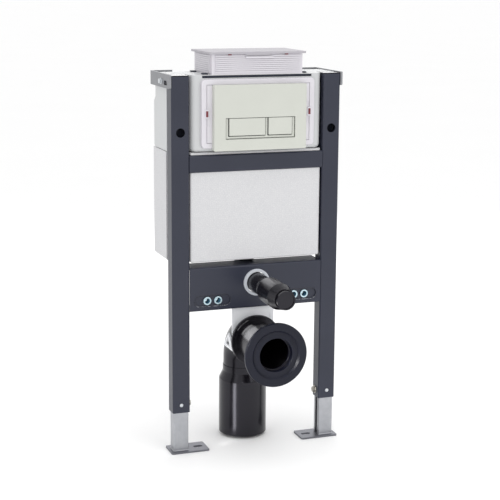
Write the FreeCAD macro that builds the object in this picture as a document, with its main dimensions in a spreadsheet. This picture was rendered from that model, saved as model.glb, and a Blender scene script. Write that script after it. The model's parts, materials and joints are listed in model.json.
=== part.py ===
import FreeCAD, Part
import math
import os
import re

import Sketcher

# Low frame for a wall hung toilet: steel uprights and crossbars on telescopic feet,
# a foam-jacketed cistern, a flush plate, a flush pipe and a waste bend.
# Sizes are in millimetres. They are measured from the frame's centre line (x), the
# front face of the uprights (y, growing towards the wall) and the floor (z).
# Every piece is then moved so that the origin lies on the left wall flange.

SIZES = [
    ("frame_width", 390, "over the outer faces of the uprights"),
    ("upright_width", 40, "tube, across the frame"),
    ("upright_depth", 36, "tube, front to back"),
    ("upright_wall", 2.5, "tube wall"),
    ("upright_corner", 4, "outer corner radius of the tube"),
    ("upright_length", 747, "cut length of an upright"),
    ("upright_hole", 20, "driver hole in the front wall"),
    ("upright_hole_drop", 120, "from the tube's top to the hole"),
    ("foot_extension", 89, "bare leg between foot plate and upright"),
    ("leg_play", 0.4, "leg in the upright, all round"),
    ("leg_wall", 2.5, "C section wall"),
    ("leg_corner", 3, "outer corner radius of the C section"),
    ("leg_slot", 12, "open slot of the C section"),
    ("leg_length", 290, "leg above its foot plate"),
    ("plate_length", 88, "foot plate, across the frame"),
    ("plate_depth", 54, "foot plate, front to back"),
    ("plate_thickness", 4, "foot plate"),
    ("plate_overhang", 5, "foot plate beyond the upright's outer face"),
    ("plate_corner", 4, "corner radius of the foot plate"),
    ("floor_slot_length", 22, "bolt slot in the foot plate, end to end"),
    ("floor_slot_width", 11, "bolt slot in the foot plate"),
    ("floor_slot_inset", 20, "slot centre from the plate's inner end"),
    ("upper_bar_height", 38, "upper crossbar"),
    ("upper_bar_depth", 22, "upper crossbar"),
    ("upper_bar_gap", 7, "bar's top under the bare cistern"),
    ("lower_bar_depth", 56, "lower crossbar"),
    ("lower_bar_cover", 40, "bar's top above the flush pipe's axis"),
    ("lower_bar_margin", 11, "bar's bottom under the bolt slots"),
    ("bar_wall", 2.5, "folded sheet of both crossbars"),
    ("bar_fold", 4, "outer fold radius of both crossbars"),
    ("waste_drop", 594, "from the uprights' top to the waste axis"),
    ("bolt_rise", 100, "pan bolts above the waste axis"),
    ("flush_rise", 135, "flush pipe above the waste axis"),
    ("bolt_spacing", 180, "pan bolts, narrow pattern"),
    ("bolt_step", 25, "from a narrow to a wide pan bolt"),
    ("bolt_hole", 12, "threaded socket for a pan bolt"),
    ("socket_wall", 3, "threaded socket"),
    ("socket_proud", 1.5, "socket in front of the bar"),
    ("socket_length", 35, "threaded socket, end to end"),
    ("slot_play", 3, "socket in the bar's slot, above and below"),
    ("slot_end_gap", 11, "slot's end from the upright"),
    ("strip_thickness", 8, "nut strip behind the slot"),
    ("strip_lap", 5, "nut strip beyond the slot, above and below"),
    ("strip_end_gap", 3, "nut strip's end from the upright"),
    ("bracket_sheet", 5, "wall bracket sheet"),
    ("bracket_height", 30, "wall bracket"),
    ("bracket_rise", 4, "bracket's top above the uprights"),
    ("bracket_corner", 3, "front corners of the arm"),
    ("bracket_fold", 6, "outer fold radius of the bracket"),
    ("bracket_flange", 50.5, "rear flange, folded towards the centre"),
    ("bracket_slot_length", 26, "setting slot in the arm"),
    ("bracket_slot_width", 10, "setting slot in the arm"),
    ("bracket_slot_start", 14, "setting slot from the arm's front end"),
    ("bracket_slot_drop", 19, "setting slot's centre from the arm's top"),
    ("wall_hole", 11, "bolt hole in the rear flange"),
    ("wall_hole_inset", 14, "hole centre from the flange's inner end"),
    ("datum_inset", 16.5, "origin from the arm's outer face"),
    ("wall_plane", 150, "rear face of the wall flanges"),
    ("wall_gap", 2, "foam from the wall"),
    ("tank_wall", 4, "moulded wall of the cistern"),
    ("tank_rise", 2, "cistern top above the uprights"),
    ("tank_gap", 2, "cistern from the back of the uprights"),
    ("tank_side_gap", 0.5, "cistern from the wall brackets' arms"),
    ("side_gap", 3, "cistern front from the uprights' inner faces"),
    ("tank_front", 1, "cistern front from the uprights' front"),
    ("tank_inset", 11, "cistern's back from the foam's back"),
    ("tank_step", 12, "cistern top half, shallower at the back"),
    ("tank_step_drop", 52, "from the cistern's top to the step"),
    ("tank_height", 165, "bare upper part of the cistern"),
    ("tank_round", 18, "front corners of the cistern"),
    ("tank_belly", 9, "lower front edge of the cistern"),
    ("tank_edge", 8, "rear edges of the cistern"),
    ("slit_height", 5.4, "slit under the cistern's front lip"),
    ("slit_drop", 1.2, "slit from the cistern's top"),
    ("slit_depth", 8, "slit under the cistern's front lip"),
    ("slit_margin", 4, "slit's end from the bezel's end"),
    ("top_slot_width", 12, "hook slot in the cistern's top"),
    ("top_slot_depth", 14, "hook slot in the cistern's top"),
    ("top_slot_gap", 4, "hook slot beside the access box"),
    ("top_slot_inset", 14, "hook slot from the box's front and back"),
    ("foam_front", 5, "foam front from the uprights' front"),
    ("foam_wall", 15, "foam wall"),
    ("foam_split", 8, "joint of the foam halves behind the uprights"),
    ("foam_gap", 1.5, "foam top under the bare cistern"),
    ("foam_round", 8, "rear edges of the foam"),
    ("foam_corner", 5, "lower corners of the foam's front"),
    ("foam_edge", 4, "front edge radius of the foam"),
    ("fit_gap", 0.3, "all round a pushed fit"),
    ("bezel_width", 260, "access bezel"),
    ("bezel_lift", 8, "bezel above the cistern's lower edge"),
    ("bezel_drop", 9, "from the cistern's top to the bezel"),
    ("bezel_depth", 9, "bezel in front of the cistern"),
    ("bezel_rim", 11, "bezel's rim, outside its groove"),
    ("bezel_groove", 1.2, "groove between rim and panel"),
    ("bezel_recess", 3, "groove and plate seat in the bezel's front"),
    ("bezel_corner", 9, "outer corner radius of the bezel"),
    ("bezel_edge", 2, "front edge radius of the bezel"),
    ("hatch_margin", 32, "access opening from the bezel's edge"),
    ("latch_width", 9, "latch pad beside the flush plate"),
    ("latch_height", 19, "latch pad beside the flush plate"),
    ("latch_inset", 12, "latch pad's centre from the bezel's end"),
    ("latch_drop", 64, "from the bezel's top to the latch pad"),
    ("latch_proud", 1.5, "latch pad before the bezel"),
    ("guide_height", 49, "sunk latch guide beside the flush plate"),
    ("guide_drop", 51, "from the bezel's top to the latch guide"),
    ("guide_depth", 0.8, "sunk latch guide"),
    ("guide_gap", 1, "latch guide from the plate's seat and the groove"),
    ("face_margin", 13, "flush plate from the bezel's rim, each side"),
    ("face_play", 0.2, "flush plate in the bezel's rim"),
    ("face_height", 142, "flush plate"),
    ("face_front", 22, "flush plate before the uprights' front"),
    ("face_sheet", 3, "wall of the moulded flush plate"),
    ("face_corner", 2, "corner radius of the flush plate"),
    ("face_edge", 1, "front edge radius of the flush plate"),
    ("recess_drop", 71, "from the flush plate's top to the button recess"),
    ("recess_depth", 7, "button recess"),
    ("button_gap", 8, "between the buttons and at their sides"),
    ("button_top_gap", 1.2, "above the buttons"),
    ("button_bottom_gap", 7.8, "below the buttons"),
    ("button_height", 37, "both buttons"),
    ("full_button_width", 82, "full flush button"),
    ("half_button_width", 54, "half flush button"),
    ("button_corner", 1.5, "corner radius of both buttons"),
    ("button_edge", 0.6, "front edge radius of both buttons"),
    ("button_thickness", 4, "button pad"),
    ("button_proud", 0.8, "button before the plate's face"),
    ("stem_diameter", 8, "guide stem of a button"),
    ("stem_length", 7, "guide stem of a button"),
    ("stem_clearance", 0.2, "stem in its guide, all round"),
    ("shaft_width", 208, "top access box"),
    ("shaft_front", 1, "box front from the uprights' front"),
    ("shaft_height", 44, "top access box above the cistern"),
    ("shaft_wall", 3, "top access box"),
    ("rib_count", 9, "ribs on each wall of the box"),
    ("rib_start", 4, "first rib above the cistern"),
    ("rib_end", 3, "last rib under the lid"),
    ("rib_height", 3.2, "one rib"),
    ("rib_proud", 2.5, "rib from the box's wall"),
    ("rib_corner", 7, "plain corner beside the ribs"),
    ("lid_overhang", 7, "lid flange beyond the box"),
    ("lid_thickness", 4.5, "lid flange"),
    ("lid_skirt", 6, "lid rim inside the box"),
    ("lid_play", 0.4, "lid rim in the box"),
    ("lid_corner", 5, "corner radius of the lid"),
    ("lid_tab_width", 59, "grip tab at the lid's front"),
    ("lid_tab_drop", 2.5, "grip tab under the lid flange"),
    ("lid_tab_thickness", 2, "grip tab"),
    ("flush_pipe_diameter", 45, "flush pipe outside"),
    ("flush_pipe_wall", 2.5, "flush pipe"),
    ("flush_reach", 150, "pipe's end before the bar's face"),
    ("flush_bend", 48, "bend radius of the flush pipe"),
    ("flush_outlet", 18.5, "straight pipe under the cistern"),
    ("flush_setback", 66, "upright leg of the flush pipe from the wall"),
    ("ring_lip", 4.3, "sleeve ring's flange beyond its sleeve"),
    ("ring_thickness", 6, "sleeve ring's flange"),
    ("ring_edge", 0.8, "edge radius of the flange"),
    ("ring_sleeve", 10, "sleeve behind the flange"),
    ("ring_wall", 2.9, "sleeve in the bar"),
    ("ring_play", 1.2, "ring's bore beyond the pipe's fit"),
    ("collar_wall", 6.2, "sealing collar round the pipe"),
    ("collar_length", 114, "sealing collar"),
    ("collar_lap", 26, "collar beyond the pipe's end"),
    ("collar_slope", 22, "cone at the collar's rear end"),
    ("collar_taper", 28, "taper at the collar's front end"),
    ("collar_nose", 1.6, "collar's wall at its front end"),
    ("cap_inset", 1.8, "end cap inside the pipe's outline"),
    ("cap_length", 36, "end cap grip"),
    ("cap_plug", 18, "end cap inside the pipe"),
    ("cap_rim", 3, "rim round the cap's dished end"),
    ("cap_dish", 2, "dish in the cap's end"),
    ("waste_diameter", 90, "waste bend outside"),
    ("waste_wall", 3, "waste bend"),
    ("waste_setback", 62, "upright leg of the waste bend from the wall"),
    ("waste_bend", 60, "bend radius of the waste"),
    ("waste_mouth", 4, "socket face before the uprights' front"),
    ("waste_leg_drop", 78, "from the waste axis to the bend's lower end"),
    ("socket_ring_wall", 13.2, "socket ring round the bend"),
    ("socket_ring_depth", 22, "socket ring"),
    ("socket_flange", 6, "thickness of the ring's front flange"),
    ("socket_hub", 5, "ring's hub round the bend"),
    ("socket_lip", 2, "ring's inner lip behind its face"),
    ("socket_ring_edge", 2, "edge radius of the socket ring"),
    ("socket_groove_inset", 3.5, "groove in the ring's face, from its outside"),
    ("socket_groove_width", 3.5, "groove in the ring's face"),
    ("socket_groove_depth", 4, "groove in the ring's face"),
    ("connector_length", 107, "pan connector in front of the socket"),
    ("connector_insert", 12, "pan connector inside the socket ring"),
    ("connector_wall", 3, "pan connector"),
    ("seal_wall", 26, "pan seal's flange round the connector"),
    ("seal_flange", 8, "thickness of the seal's flange"),
    ("seal_hub", 5, "rear end of the seal round the connector"),
    ("seal_depth", 30, "pan seal"),
    ("seal_grip", 10, "connector's length inside the seal"),
    ("seal_bore", 75, "mouth of the pan seal"),
    ("seal_round", 2.5, "front edge radius of the seal"),
    ("seal_rim", 16, "flat rim round the seal's dish"),
    ("seal_step", 4, "slope from the rim into the dish"),
    ("seal_dish", 5.5, "depth of the dish at the mouth"),
    ("seal_lip", 2.5, "inner lip in the bore"),
    ("seal_lip_depth", 3, "inner lip in the bore"),
    ("outlet_diameter", 110, "outlet spigot outside"),
    ("outlet_wall", 3.2, "outlet spigot"),
    ("neck_length", 14, "reducer's neck inside the bend"),
    ("reducer_step", 1.5, "reducer's collar beyond the bend's outside"),
    ("reducer_collar", 14.5, "reducer's collar above the cone"),
    ("shoulder_height", 18, "cone from the collar to the spigot"),
    ("shoulder_round", 8, "radius between cone and spigot"),
    ("spigot_length", 129.5, "straight outlet spigot"),
    ("spigot_edge", 1.5, "edge radius of the spigot's end"),
    ("holder_sheet", 4, "waste holder wall"),
    ("holder_setback", 8, "holder's front before the bend's curve"),
    ("holder_foot", 14, "holder's foot under the bar"),
    ("holder_drop", 104, "holder below the bar"),
    ("holder_play", 0.3, "holder round the bend"),
    ("holder_border", 8, "border round the holder's sunk panel"),
    ("holder_crease", 19, "from the bar to the sunk panel"),
    ("holder_panel", 1.5, "depth of the sunk panel"),
    ("gusset_length", 58, "gusset behind the holder's plate"),
    ("gusset_height", 36, "gusset, base to apex"),
    ("gusset_apex", 23, "apex behind the holder's plate"),
    ("gusset_front", 14, "gusset's height at the plate"),
    ("gusset_member", 7, "window above the gusset's base"),
    ("window_shift", 5, "window's centre behind the apex"),
    ("window_width", 26, "window in the gusset"),
    ("window_height", 17, "window in the gusset"),
]

doc = FreeCAD.newDocument("toilet_frame")
sheet = doc.addObject("Spreadsheet::Sheet", "Sizes")
for row, (alias, value, note) in enumerate(SIZES, start=1):
    sheet.set(f"A{row}", alias)
    sheet.set(f"B{row}", str(value))
    sheet.set(f"C{row}", note)
    sheet.setAlias(f"B{row}", alias)
doc.recompute()

ALIASES = {alias for alias, value, note in SIZES}
V = FreeCAD.Vector
AXES = {"x": V(1, 0, 0), "y": V(0, 1, 0), "z": V(0, 0, 1)}
PARTS = []
SAME_PLACE = 0.01
QUARTER_TURN = math.pi / 2
SIDES = (("left", -1), ("right", 1))


def bound(words):
    """Turn an expression in size names into one that reads the sheet."""
    return re.sub(r"[a-z_]+", lambda m: f"Sizes.{m[0]}" if m[0] in ALIASES else m[0], str(words))


def number(words):
    """Value of an expression, for a sketch's first guess."""
    return float(sheet.evalExpression(bound(words)))


# Places that several pieces share, from the floor up to the frame's top
HALF = "frame_width / 2"
INNER = f"({HALF} - upright_width)"
UPRIGHT_X = f"({HALF} - upright_width / 2)"
UPRIGHT_Y = "upright_depth / 2"
UPRIGHT_BOTTOM = "(plate_thickness + foot_extension)"
TOP = f"({UPRIGHT_BOTTOM} + upright_length)"
LEG_HALF_WIDTH = "(upright_width / 2 - upright_wall - leg_play)"
LEG_HALF_DEPTH = "(upright_depth / 2 - upright_wall - leg_play)"

# Axes of the pipes and of the pan bolts
WASTE_Z = f"({TOP} - waste_drop)"
WASTE_Y = "(wall_plane - waste_setback)"
FLUSH_Z = f"({WASTE_Z} + flush_rise)"
FLUSH_Y = "(wall_plane - flush_setback)"
FLUSH_BEND_Z = f"({FLUSH_Z} + flush_bend)"
BOLT_Z = f"({WASTE_Z} + bolt_rise)"
SLOT_X = "(bolt_spacing / 2 + bolt_step / 2)"
SOCKET_DIAMETER = "(bolt_hole + 2 * socket_wall)"
SLOT_WIDTH = f"({SOCKET_DIAMETER} + 2 * slot_play)"

# Crossbars and wall brackets
LOWER_TOP = f"({FLUSH_Z} + lower_bar_cover)"
LOWER_BOTTOM = f"({BOLT_Z} - {SLOT_WIDTH} / 2 - lower_bar_margin)"
BRACKET_TOP = f"({TOP} + bracket_rise)"
BRACKET_BOTTOM = f"({BRACKET_TOP} - bracket_height)"
ARM_OUTER = f"({HALF} + bracket_sheet)"

# Cistern and foam
TANK_TOP = f"({TOP} + tank_rise)"
TANK_BOTTOM = f"({TANK_TOP} - tank_height)"
UPPER_TOP = f"({TANK_BOTTOM} - upper_bar_gap)"
UPPER_BOTTOM = f"({UPPER_TOP} - upper_bar_height)"
TANK_HALF = f"({INNER} - side_gap)"
TANK_REAR = "(upright_depth + tank_gap)"
TANK_SIDE = f"({HALF} - tank_side_gap)"
FOAM_BACK = "(wall_plane - wall_gap)"
FOAM_SPLIT = "(upright_depth + foam_split)"
TANK_BACK = f"({FOAM_BACK} - tank_inset)"
FOAM_TOP = f"({TANK_BOTTOM} - foam_gap)"
LOWER_TANK_HALF = f"({TANK_HALF} - foam_wall)"
LOWER_TANK_FRONT = "(upper_bar_depth + foam_wall)"
LOWER_TANK_BACK = f"({FOAM_BACK} - foam_wall)"
LOWER_TANK_BOTTOM = f"({FLUSH_BEND_Z} + flush_outlet)"
FOAM_BOTTOM = f"({LOWER_TANK_BOTTOM} - foam_wall)"

# Bezel, flush plate, buttons and access box
BEZEL_TOP = f"({TANK_TOP} - bezel_drop)"
BEZEL_BOTTOM = f"({TANK_BOTTOM} + bezel_lift)"
BEZEL_FRONT = "(tank_front - bezel_depth)"
BEZEL_PANEL = f"({BEZEL_FRONT} + bezel_recess)"
PANEL_HALF = "(bezel_width / 2 - bezel_rim)"
FACE_HALF = f"({PANEL_HALF} - face_margin)"
FACE_TOP = f"({BEZEL_TOP} - bezel_rim - face_play)"
FACE_BOTTOM = f"({FACE_TOP} - face_height)"
RECESS_HALF = "((full_button_width + half_button_width + 3 * button_gap) / 2)"
RECESS_TOP = f"({FACE_TOP} - recess_drop)"
BUTTON_TOP = f"({RECESS_TOP} - button_top_gap)"
BUTTON_BOTTOM = f"({BUTTON_TOP} - button_height)"
RECESS_BOTTOM = f"({BUTTON_BOTTOM} - button_bottom_gap)"
STEM_Z = f"({BUTTON_TOP} - button_height / 2)"
BUTTONS = (
    ("full", f"(-{RECESS_HALF} + button_gap)", "full_button_width"),
    ("half", f"({RECESS_HALF} - button_gap - half_button_width)", "half_button_width"),
)
SHAFT_TOP = f"({TANK_TOP} + shaft_height)"
SHAFT_BACK = f"({TANK_BACK} - tank_step)"

# Pipe fits
FLUSH_PIPE_FIT = "(flush_pipe_diameter / 2 + fit_gap)"
SLEEVE_RADIUS = f"({FLUSH_PIPE_FIT} + ring_wall)"
MOUTH_Y = "(-waste_mouth)"
BEND_START = f"({MOUTH_Y} + connector_insert)"
BEND_Y = f"({WASTE_Y} - waste_bend)"
BEND_Z = f"({WASTE_Z} - waste_bend)"
WASTE_FIT = "(waste_diameter / 2 + fit_gap)"
BEND_END = f"({WASTE_Z} - waste_leg_drop)"
SHOULDER_Z = f"({BEND_END} - reducer_collar)"
SPIGOT_Z = f"({SHOULDER_Z} - shoulder_height)"
OUTLET_Z = f"({SPIGOT_Z} - spigot_length)"

# The origin: on the left wall flange, beside the fold
DATUM = (f"-({ARM_OUTER} - datum_inset)", "wall_plane", f"({BRACKET_TOP} - bracket_height / 2)")


def new_body(label):
    body = doc.addObject("PartDesign::Body", label)
    body.Label = label
    PARTS.append(body)
    return body


def plane_sketch(body, plane, offset="0", up="0", across="0"):
    """Sketch on an origin plane: XY at height offset, XZ at depth offset, YZ at width offset.

    The sketch's own zero is moved by across and up along its two axes.
    """
    sketch = body.newObject("Sketcher::SketchObject", f"{body.Name}_sketch")
    support = next(f for f in body.Origin.OriginFeatures if f.Role == f"{plane}_Plane")
    sketch.AttachmentSupport = [(support, "")]
    sketch.MapMode = "FlatFace"
    along = f"-({offset})" if plane == "XZ" else offset
    sketch.setExpression("AttachmentOffset.Base.z", bound(along))
    sketch.setExpression("AttachmentOffset.Base.y", bound(up))
    sketch.setExpression("AttachmentOffset.Base.x", bound(across))
    return sketch


def fix(sketch, kind, element, words):
    """Dimension a sketch element and bind it to the sheet."""
    index = sketch.addConstraint(Sketcher.Constraint(kind, *element, number(words)))
    sketch.setExpression(f"Constraints[{index}]", bound(words))


def fix_point(sketch, geometry, end, x, y):
    fix(sketch, "DistanceX", (-1, 1, geometry, end), x)
    fix(sketch, "DistanceY", (-1, 1, geometry, end), y)


def outline(sketch, points):
    """Closed polygon through points given as pairs of expressions."""
    first = sketch.GeometryCount
    places = [V(number(x), number(y), 0) for x, y in points]
    count = len(points)
    for i in range(count):
        sketch.addGeometry(Part.LineSegment(places[i], places[(i + 1) % count]))
    for i in range(count):
        following = first + (i + 1) % count
        sketch.addConstraint(Sketcher.Constraint("Coincident", first + i, 2, following, 1))
    for i, (x, y) in enumerate(points):
        fix_point(sketch, first + i, 1, x, y)


def rectangle(sketch, x_low, x_high, y_low, y_high):
    outline(sketch, [(x_low, y_low), (x_high, y_low), (x_high, y_high), (x_low, y_high)])


def circle(sketch, x, y, diameter):
    radius = f"({diameter}) / 2"
    shape = Part.Circle(V(number(x), number(y), 0), AXES["z"], number(radius))
    index = sketch.addGeometry(shape)
    fix(sketch, "Radius", (index,), radius)
    fix_point(sketch, index, 3, x, y)


def obround(sketch, x, y, length, width):
    """Slot along the sketch's first axis."""
    radius = f"({width}) / 2"
    reach = f"(({length}) - ({width})) / 2"
    r = number(radius)
    left = V(number(f"{x} - {reach}"), number(y), 0)
    right = V(number(f"{x} + {reach}"), number(y), 0)
    rise = V(0, r, 0)
    first = sketch.GeometryCount
    sides = [
        Part.ArcOfCircle(Part.Circle(right, AXES["z"], r), -QUARTER_TURN, QUARTER_TURN),
        Part.LineSegment(right + rise, left + rise),
        Part.ArcOfCircle(Part.Circle(left, AXES["z"], r), QUARTER_TURN, 3 * QUARTER_TURN),
        Part.LineSegment(left - rise, right - rise),
    ]
    for side in sides:
        sketch.addGeometry(side)
    for i in range(len(sides)):
        following = first + (i + 1) % len(sides)
        sketch.addConstraint(Sketcher.Constraint("Tangent", first + i, 2, following, 1))
    fix(sketch, "Radius", (first,), radius)
    fix_point(sketch, first, 3, f"{x} + {reach}", y)
    fix_point(sketch, first + 2, 3, f"{x} - {reach}", y)


def finish_feature(body, feature):
    doc.recompute()
    body.Tip = feature
    return feature


def pad(body, sketch, length, back=False, middle=False):
    feature = body.newObject("PartDesign::Pad", f"{body.Name}_pad")
    feature.Profile = sketch
    feature.Reversed = back
    feature.SideType = "Symmetric" if middle else "One side"
    feature.setExpression("Length", bound(length))
    return finish_feature(body, feature)


def pocket(body, sketch, length, back=False, middle=False):
    """Cut that has to take material away."""
    before = body.Shape.Volume
    feature = body.newObject("PartDesign::Pocket", f"{body.Name}_pocket")
    feature.Profile = sketch
    feature.Reversed = back
    feature.SideType = "Symmetric" if middle else "One side"
    feature.setExpression("Length", bound(length))
    finish_feature(body, feature)
    if body.Shape.Volume >= before:
        raise RuntimeError(f"{body.Label}: a pocket cuts nothing")
    return feature


def revolve(body, sketch, axis="H_Axis", angle="360", back=False):
    feature = body.newObject("PartDesign::Revolution", f"{body.Name}_turn")
    feature.Profile = sketch
    feature.ReferenceAxis = (sketch, [axis])
    feature.Reversed = back
    feature.setExpression("Angle", bound(angle))
    return finish_feature(body, feature)


def near(value, words):
    return abs(value - number(words)) < SAME_PLACE


def fillet(body, radius, test):
    """Round the edges of the body's last feature that pass the test."""
    base = body.Tip
    names = [f"Edge{i}" for i, edge in enumerate(base.Shape.Edges, start=1) if test(edge)]
    if not names:
        raise RuntimeError(f"{body.Label}: no edge to round")
    feature = body.newObject("PartDesign::Fillet", f"{body.Name}_round")
    feature.Base = (base, names)
    feature.setExpression("Radius", bound(radius))
    return finish_feature(body, feature)


def round_edges(body, radius, axis, test=lambda p: True):
    """Round straight edges along an axis whose middle passes the test."""
    def chosen(edge):
        if edge.Curve.TypeId != "Part::GeomLine":
            return False
        start, end = (vertex.Point for vertex in edge.Vertexes)
        return (end - start).cross(AXES[axis]).Length < SAME_PLACE and test((start + end) / 2)
    return fillet(body, radius, chosen)


def round_outline(body, radius, axis, place, test=lambda p: True):
    """Round all edges that lie in a plane across an axis."""
    def chosen(edge):
        low = getattr(edge.BoundBox, f"{axis.upper()}Min")
        high = getattr(edge.BoundBox, f"{axis.upper()}Max")
        return near(low, place) and near(high, place) and test(edge.BoundBox.Center)
    return fillet(body, radius, chosen)


def round_rim(body, radius, rim, axis, place):
    """Round the circular edges of one radius at a place along their axis."""
    def chosen(edge):
        curve = edge.Curve
        return (curve.TypeId == "Part::GeomCircle" and near(curve.Radius, rim)
                and near(getattr(curve.Center, axis), place))
    return fillet(body, radius, chosen)


def turned(label, height, points):
    """Ring turned about an axis along y: points are pairs of depth and radius."""
    body = new_body(label)
    sketch = plane_sketch(body, "YZ", up=height)
    outline(sketch, points)
    revolve(body, sketch)
    return body


def upright(side, sign):
    body = new_body(f"{side}_upright")
    sketch = plane_sketch(body, "XY", UPRIGHT_BOTTOM)
    x = f"{sign} * {UPRIGHT_X}"
    rectangle(sketch, f"{x} - upright_width / 2", f"{x} + upright_width / 2", "0", "upright_depth")
    pad(body, sketch, "upright_length")
    round_edges(body, "upright_corner", "z")
    bore = plane_sketch(body, "XY", UPRIGHT_BOTTOM)
    inside = "(upright_width / 2 - upright_wall)"
    low = "upright_wall"
    high = "upright_depth - upright_wall"
    rectangle(bore, f"{x} - {inside}", f"{x} + {inside}", low, high)
    pocket(body, bore, "upright_length", back=True)
    round_edges(body, "upright_corner - upright_wall", "z", lambda p: near(p.y, low) or near(p.y, high))
    hole = plane_sketch(body, "XZ")
    circle(hole, x, f"{TOP} - upright_hole_drop", "upright_hole")
    pocket(body, hole, UPRIGHT_Y)


def channel(label, bottom, top, depth):
    """Crossbar folded from sheet, open towards the wall."""
    body = new_body(label)
    sketch = plane_sketch(body, "YZ")
    outline(sketch, [
        ("0", bottom), (depth, bottom),
        (depth, f"{bottom} + bar_wall"), ("bar_wall", f"{bottom} + bar_wall"),
        ("bar_wall", f"{top} - bar_wall"), (depth, f"{top} - bar_wall"),
        (depth, top), ("0", top),
    ])
    pad(body, sketch, f"2 * {INNER}", middle=True)
    round_edges(body, "bar_fold", "x", lambda p: near(p.y, "0"))
    round_edges(body, "bar_fold - bar_wall", "x", lambda p: near(p.y, "bar_wall"))
    return body


def lower_crossbar():
    body = channel("lower_crossbar", LOWER_BOTTOM, LOWER_TOP, "lower_bar_depth")
    cuts = plane_sketch(body, "XZ")
    for side, sign in SIDES:
        obround(cuts, f"{sign} * {SLOT_X}", BOLT_Z, f"2 * ({INNER} - slot_end_gap - {SLOT_X})", SLOT_WIDTH)
    circle(cuts, "0", FLUSH_Z, f"2 * ({SLEEVE_RADIUS} + fit_gap)")
    pocket(body, cuts, "bar_wall")


def pan_bolt_holding(side, sign):
    """Nut strip behind a slot of the lower bar, with its two threaded sockets."""
    places = {
        "inner": f"{sign} * bolt_spacing / 2",
        "outer": f"{sign} * (bolt_spacing / 2 + bolt_step)",
    }
    strip = new_body(f"{side}_pan_bolt_strip")
    block = plane_sketch(strip, "XZ", "bar_wall")
    reach = f"({INNER} - strip_end_gap - {SLOT_X})"
    rise = f"({SLOT_WIDTH} / 2 + strip_lap)"
    centre = f"{sign} * {SLOT_X}"
    rectangle(block, f"{centre} - {reach}", f"{centre} + {reach}", f"{BOLT_Z} - {rise}", f"{BOLT_Z} + {rise}")
    for place in places.values():
        circle(block, place, BOLT_Z, f"{SOCKET_DIAMETER} + 2 * fit_gap")
    pad(strip, block, "strip_thickness", back=True)
    for name, place in places.items():
        socket = new_body(f"{side}_{name}_pan_socket")
        ring = plane_sketch(socket, "XZ", "-socket_proud")
        circle(ring, place, BOLT_Z, SOCKET_DIAMETER)
        circle(ring, place, BOLT_Z, "bolt_hole")
        pad(socket, ring, "socket_length", back=True)


def foot_leg(side, sign):
    """C section with its slot towards the centre line."""
    body = new_body(f"{side}_foot_leg")
    sketch = plane_sketch(body, "XY", "plate_thickness")
    x = f"{sign} * {UPRIGHT_X}"
    outer = f"{x} + {sign} * {LEG_HALF_WIDTH}"
    inner = f"{x} - {sign} * {LEG_HALF_WIDTH}"
    low = f"{UPRIGHT_Y} - {LEG_HALF_DEPTH}"
    high = f"{UPRIGHT_Y} + {LEG_HALF_DEPTH}"
    slot_low = f"{UPRIGHT_Y} - leg_slot / 2"
    slot_high = f"{UPRIGHT_Y} + leg_slot / 2"
    inner_lining = f"{inner} + {sign} * leg_wall"
    outer_lining = f"{outer} - {sign} * leg_wall"
    outline(sketch, [
        (inner, low), (outer, low), (outer, high), (inner, high),
        (inner, slot_high), (inner_lining, slot_high),
        (inner_lining, f"{high} - leg_wall"), (outer_lining, f"{high} - leg_wall"),
        (outer_lining, f"{low} + leg_wall"), (inner_lining, f"{low} + leg_wall"),
        (inner_lining, slot_low), (inner, slot_low),
    ])
    pad(body, sketch, "leg_length")
    round_edges(body, "leg_corner", "z", lambda p: near(p.y, low) or near(p.y, high))


def foot_plate(side, sign):
    body = new_body(f"{side}_foot_plate")
    outer = f"{sign} * ({HALF} + plate_overhang)"
    inner = f"{sign} * ({HALF} + plate_overhang - plate_length)"
    sketch = plane_sketch(body, "XY")
    rectangle(sketch, inner, outer, f"{UPRIGHT_Y} - plate_depth / 2", f"{UPRIGHT_Y} + plate_depth / 2")
    pad(body, sketch, "plate_thickness")
    round_edges(body, "plate_corner", "z")
    slot = plane_sketch(body, "XY")
    obround(slot, f"{inner} + {sign} * floor_slot_inset", UPRIGHT_Y, "floor_slot_length", "floor_slot_width")
    pocket(body, slot, "plate_thickness", back=True)


def wall_bracket(side, sign):
    """Folded sheet: a slotted arm on the upright's side and a rear flange against the wall."""
    body = new_body(f"{side}_wall_bracket")
    profile = plane_sketch(body, "XY", BRACKET_BOTTOM)
    flange_end = f"{sign} * ({ARM_OUTER} - bracket_flange)"
    outline(profile, [
        (f"{sign} * {ARM_OUTER}", "0"), (f"{sign} * {ARM_OUTER}", "wall_plane"),
        (flange_end, "wall_plane"), (flange_end, "wall_plane - bracket_sheet"),
        (f"{sign} * {HALF}", "wall_plane - bracket_sheet"), (f"{sign} * {HALF}", "0"),
    ])
    pad(body, profile, "bracket_height")
    round_edges(body, "bracket_fold", "z",
                lambda p: near(abs(p.x), ARM_OUTER) and near(p.y, "wall_plane"))
    round_edges(body, "bracket_corner", "x", lambda p: near(p.y, "0"))
    slot = plane_sketch(body, "YZ", f"{sign} * {HALF}")
    obround(slot, "bracket_slot_start + bracket_slot_length / 2", f"{BRACKET_TOP} - bracket_slot_drop",
            "bracket_slot_length", "bracket_slot_width")
    pocket(body, slot, "bracket_sheet", back=sign > 0)
    hole = plane_sketch(body, "XZ", "wall_plane")
    circle(hole, f"{flange_end} + {sign} * wall_hole_inset",
           f"{BRACKET_BOTTOM} + bracket_height / 2", "wall_hole")
    pocket(body, hole, "bracket_sheet", back=True)


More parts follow.
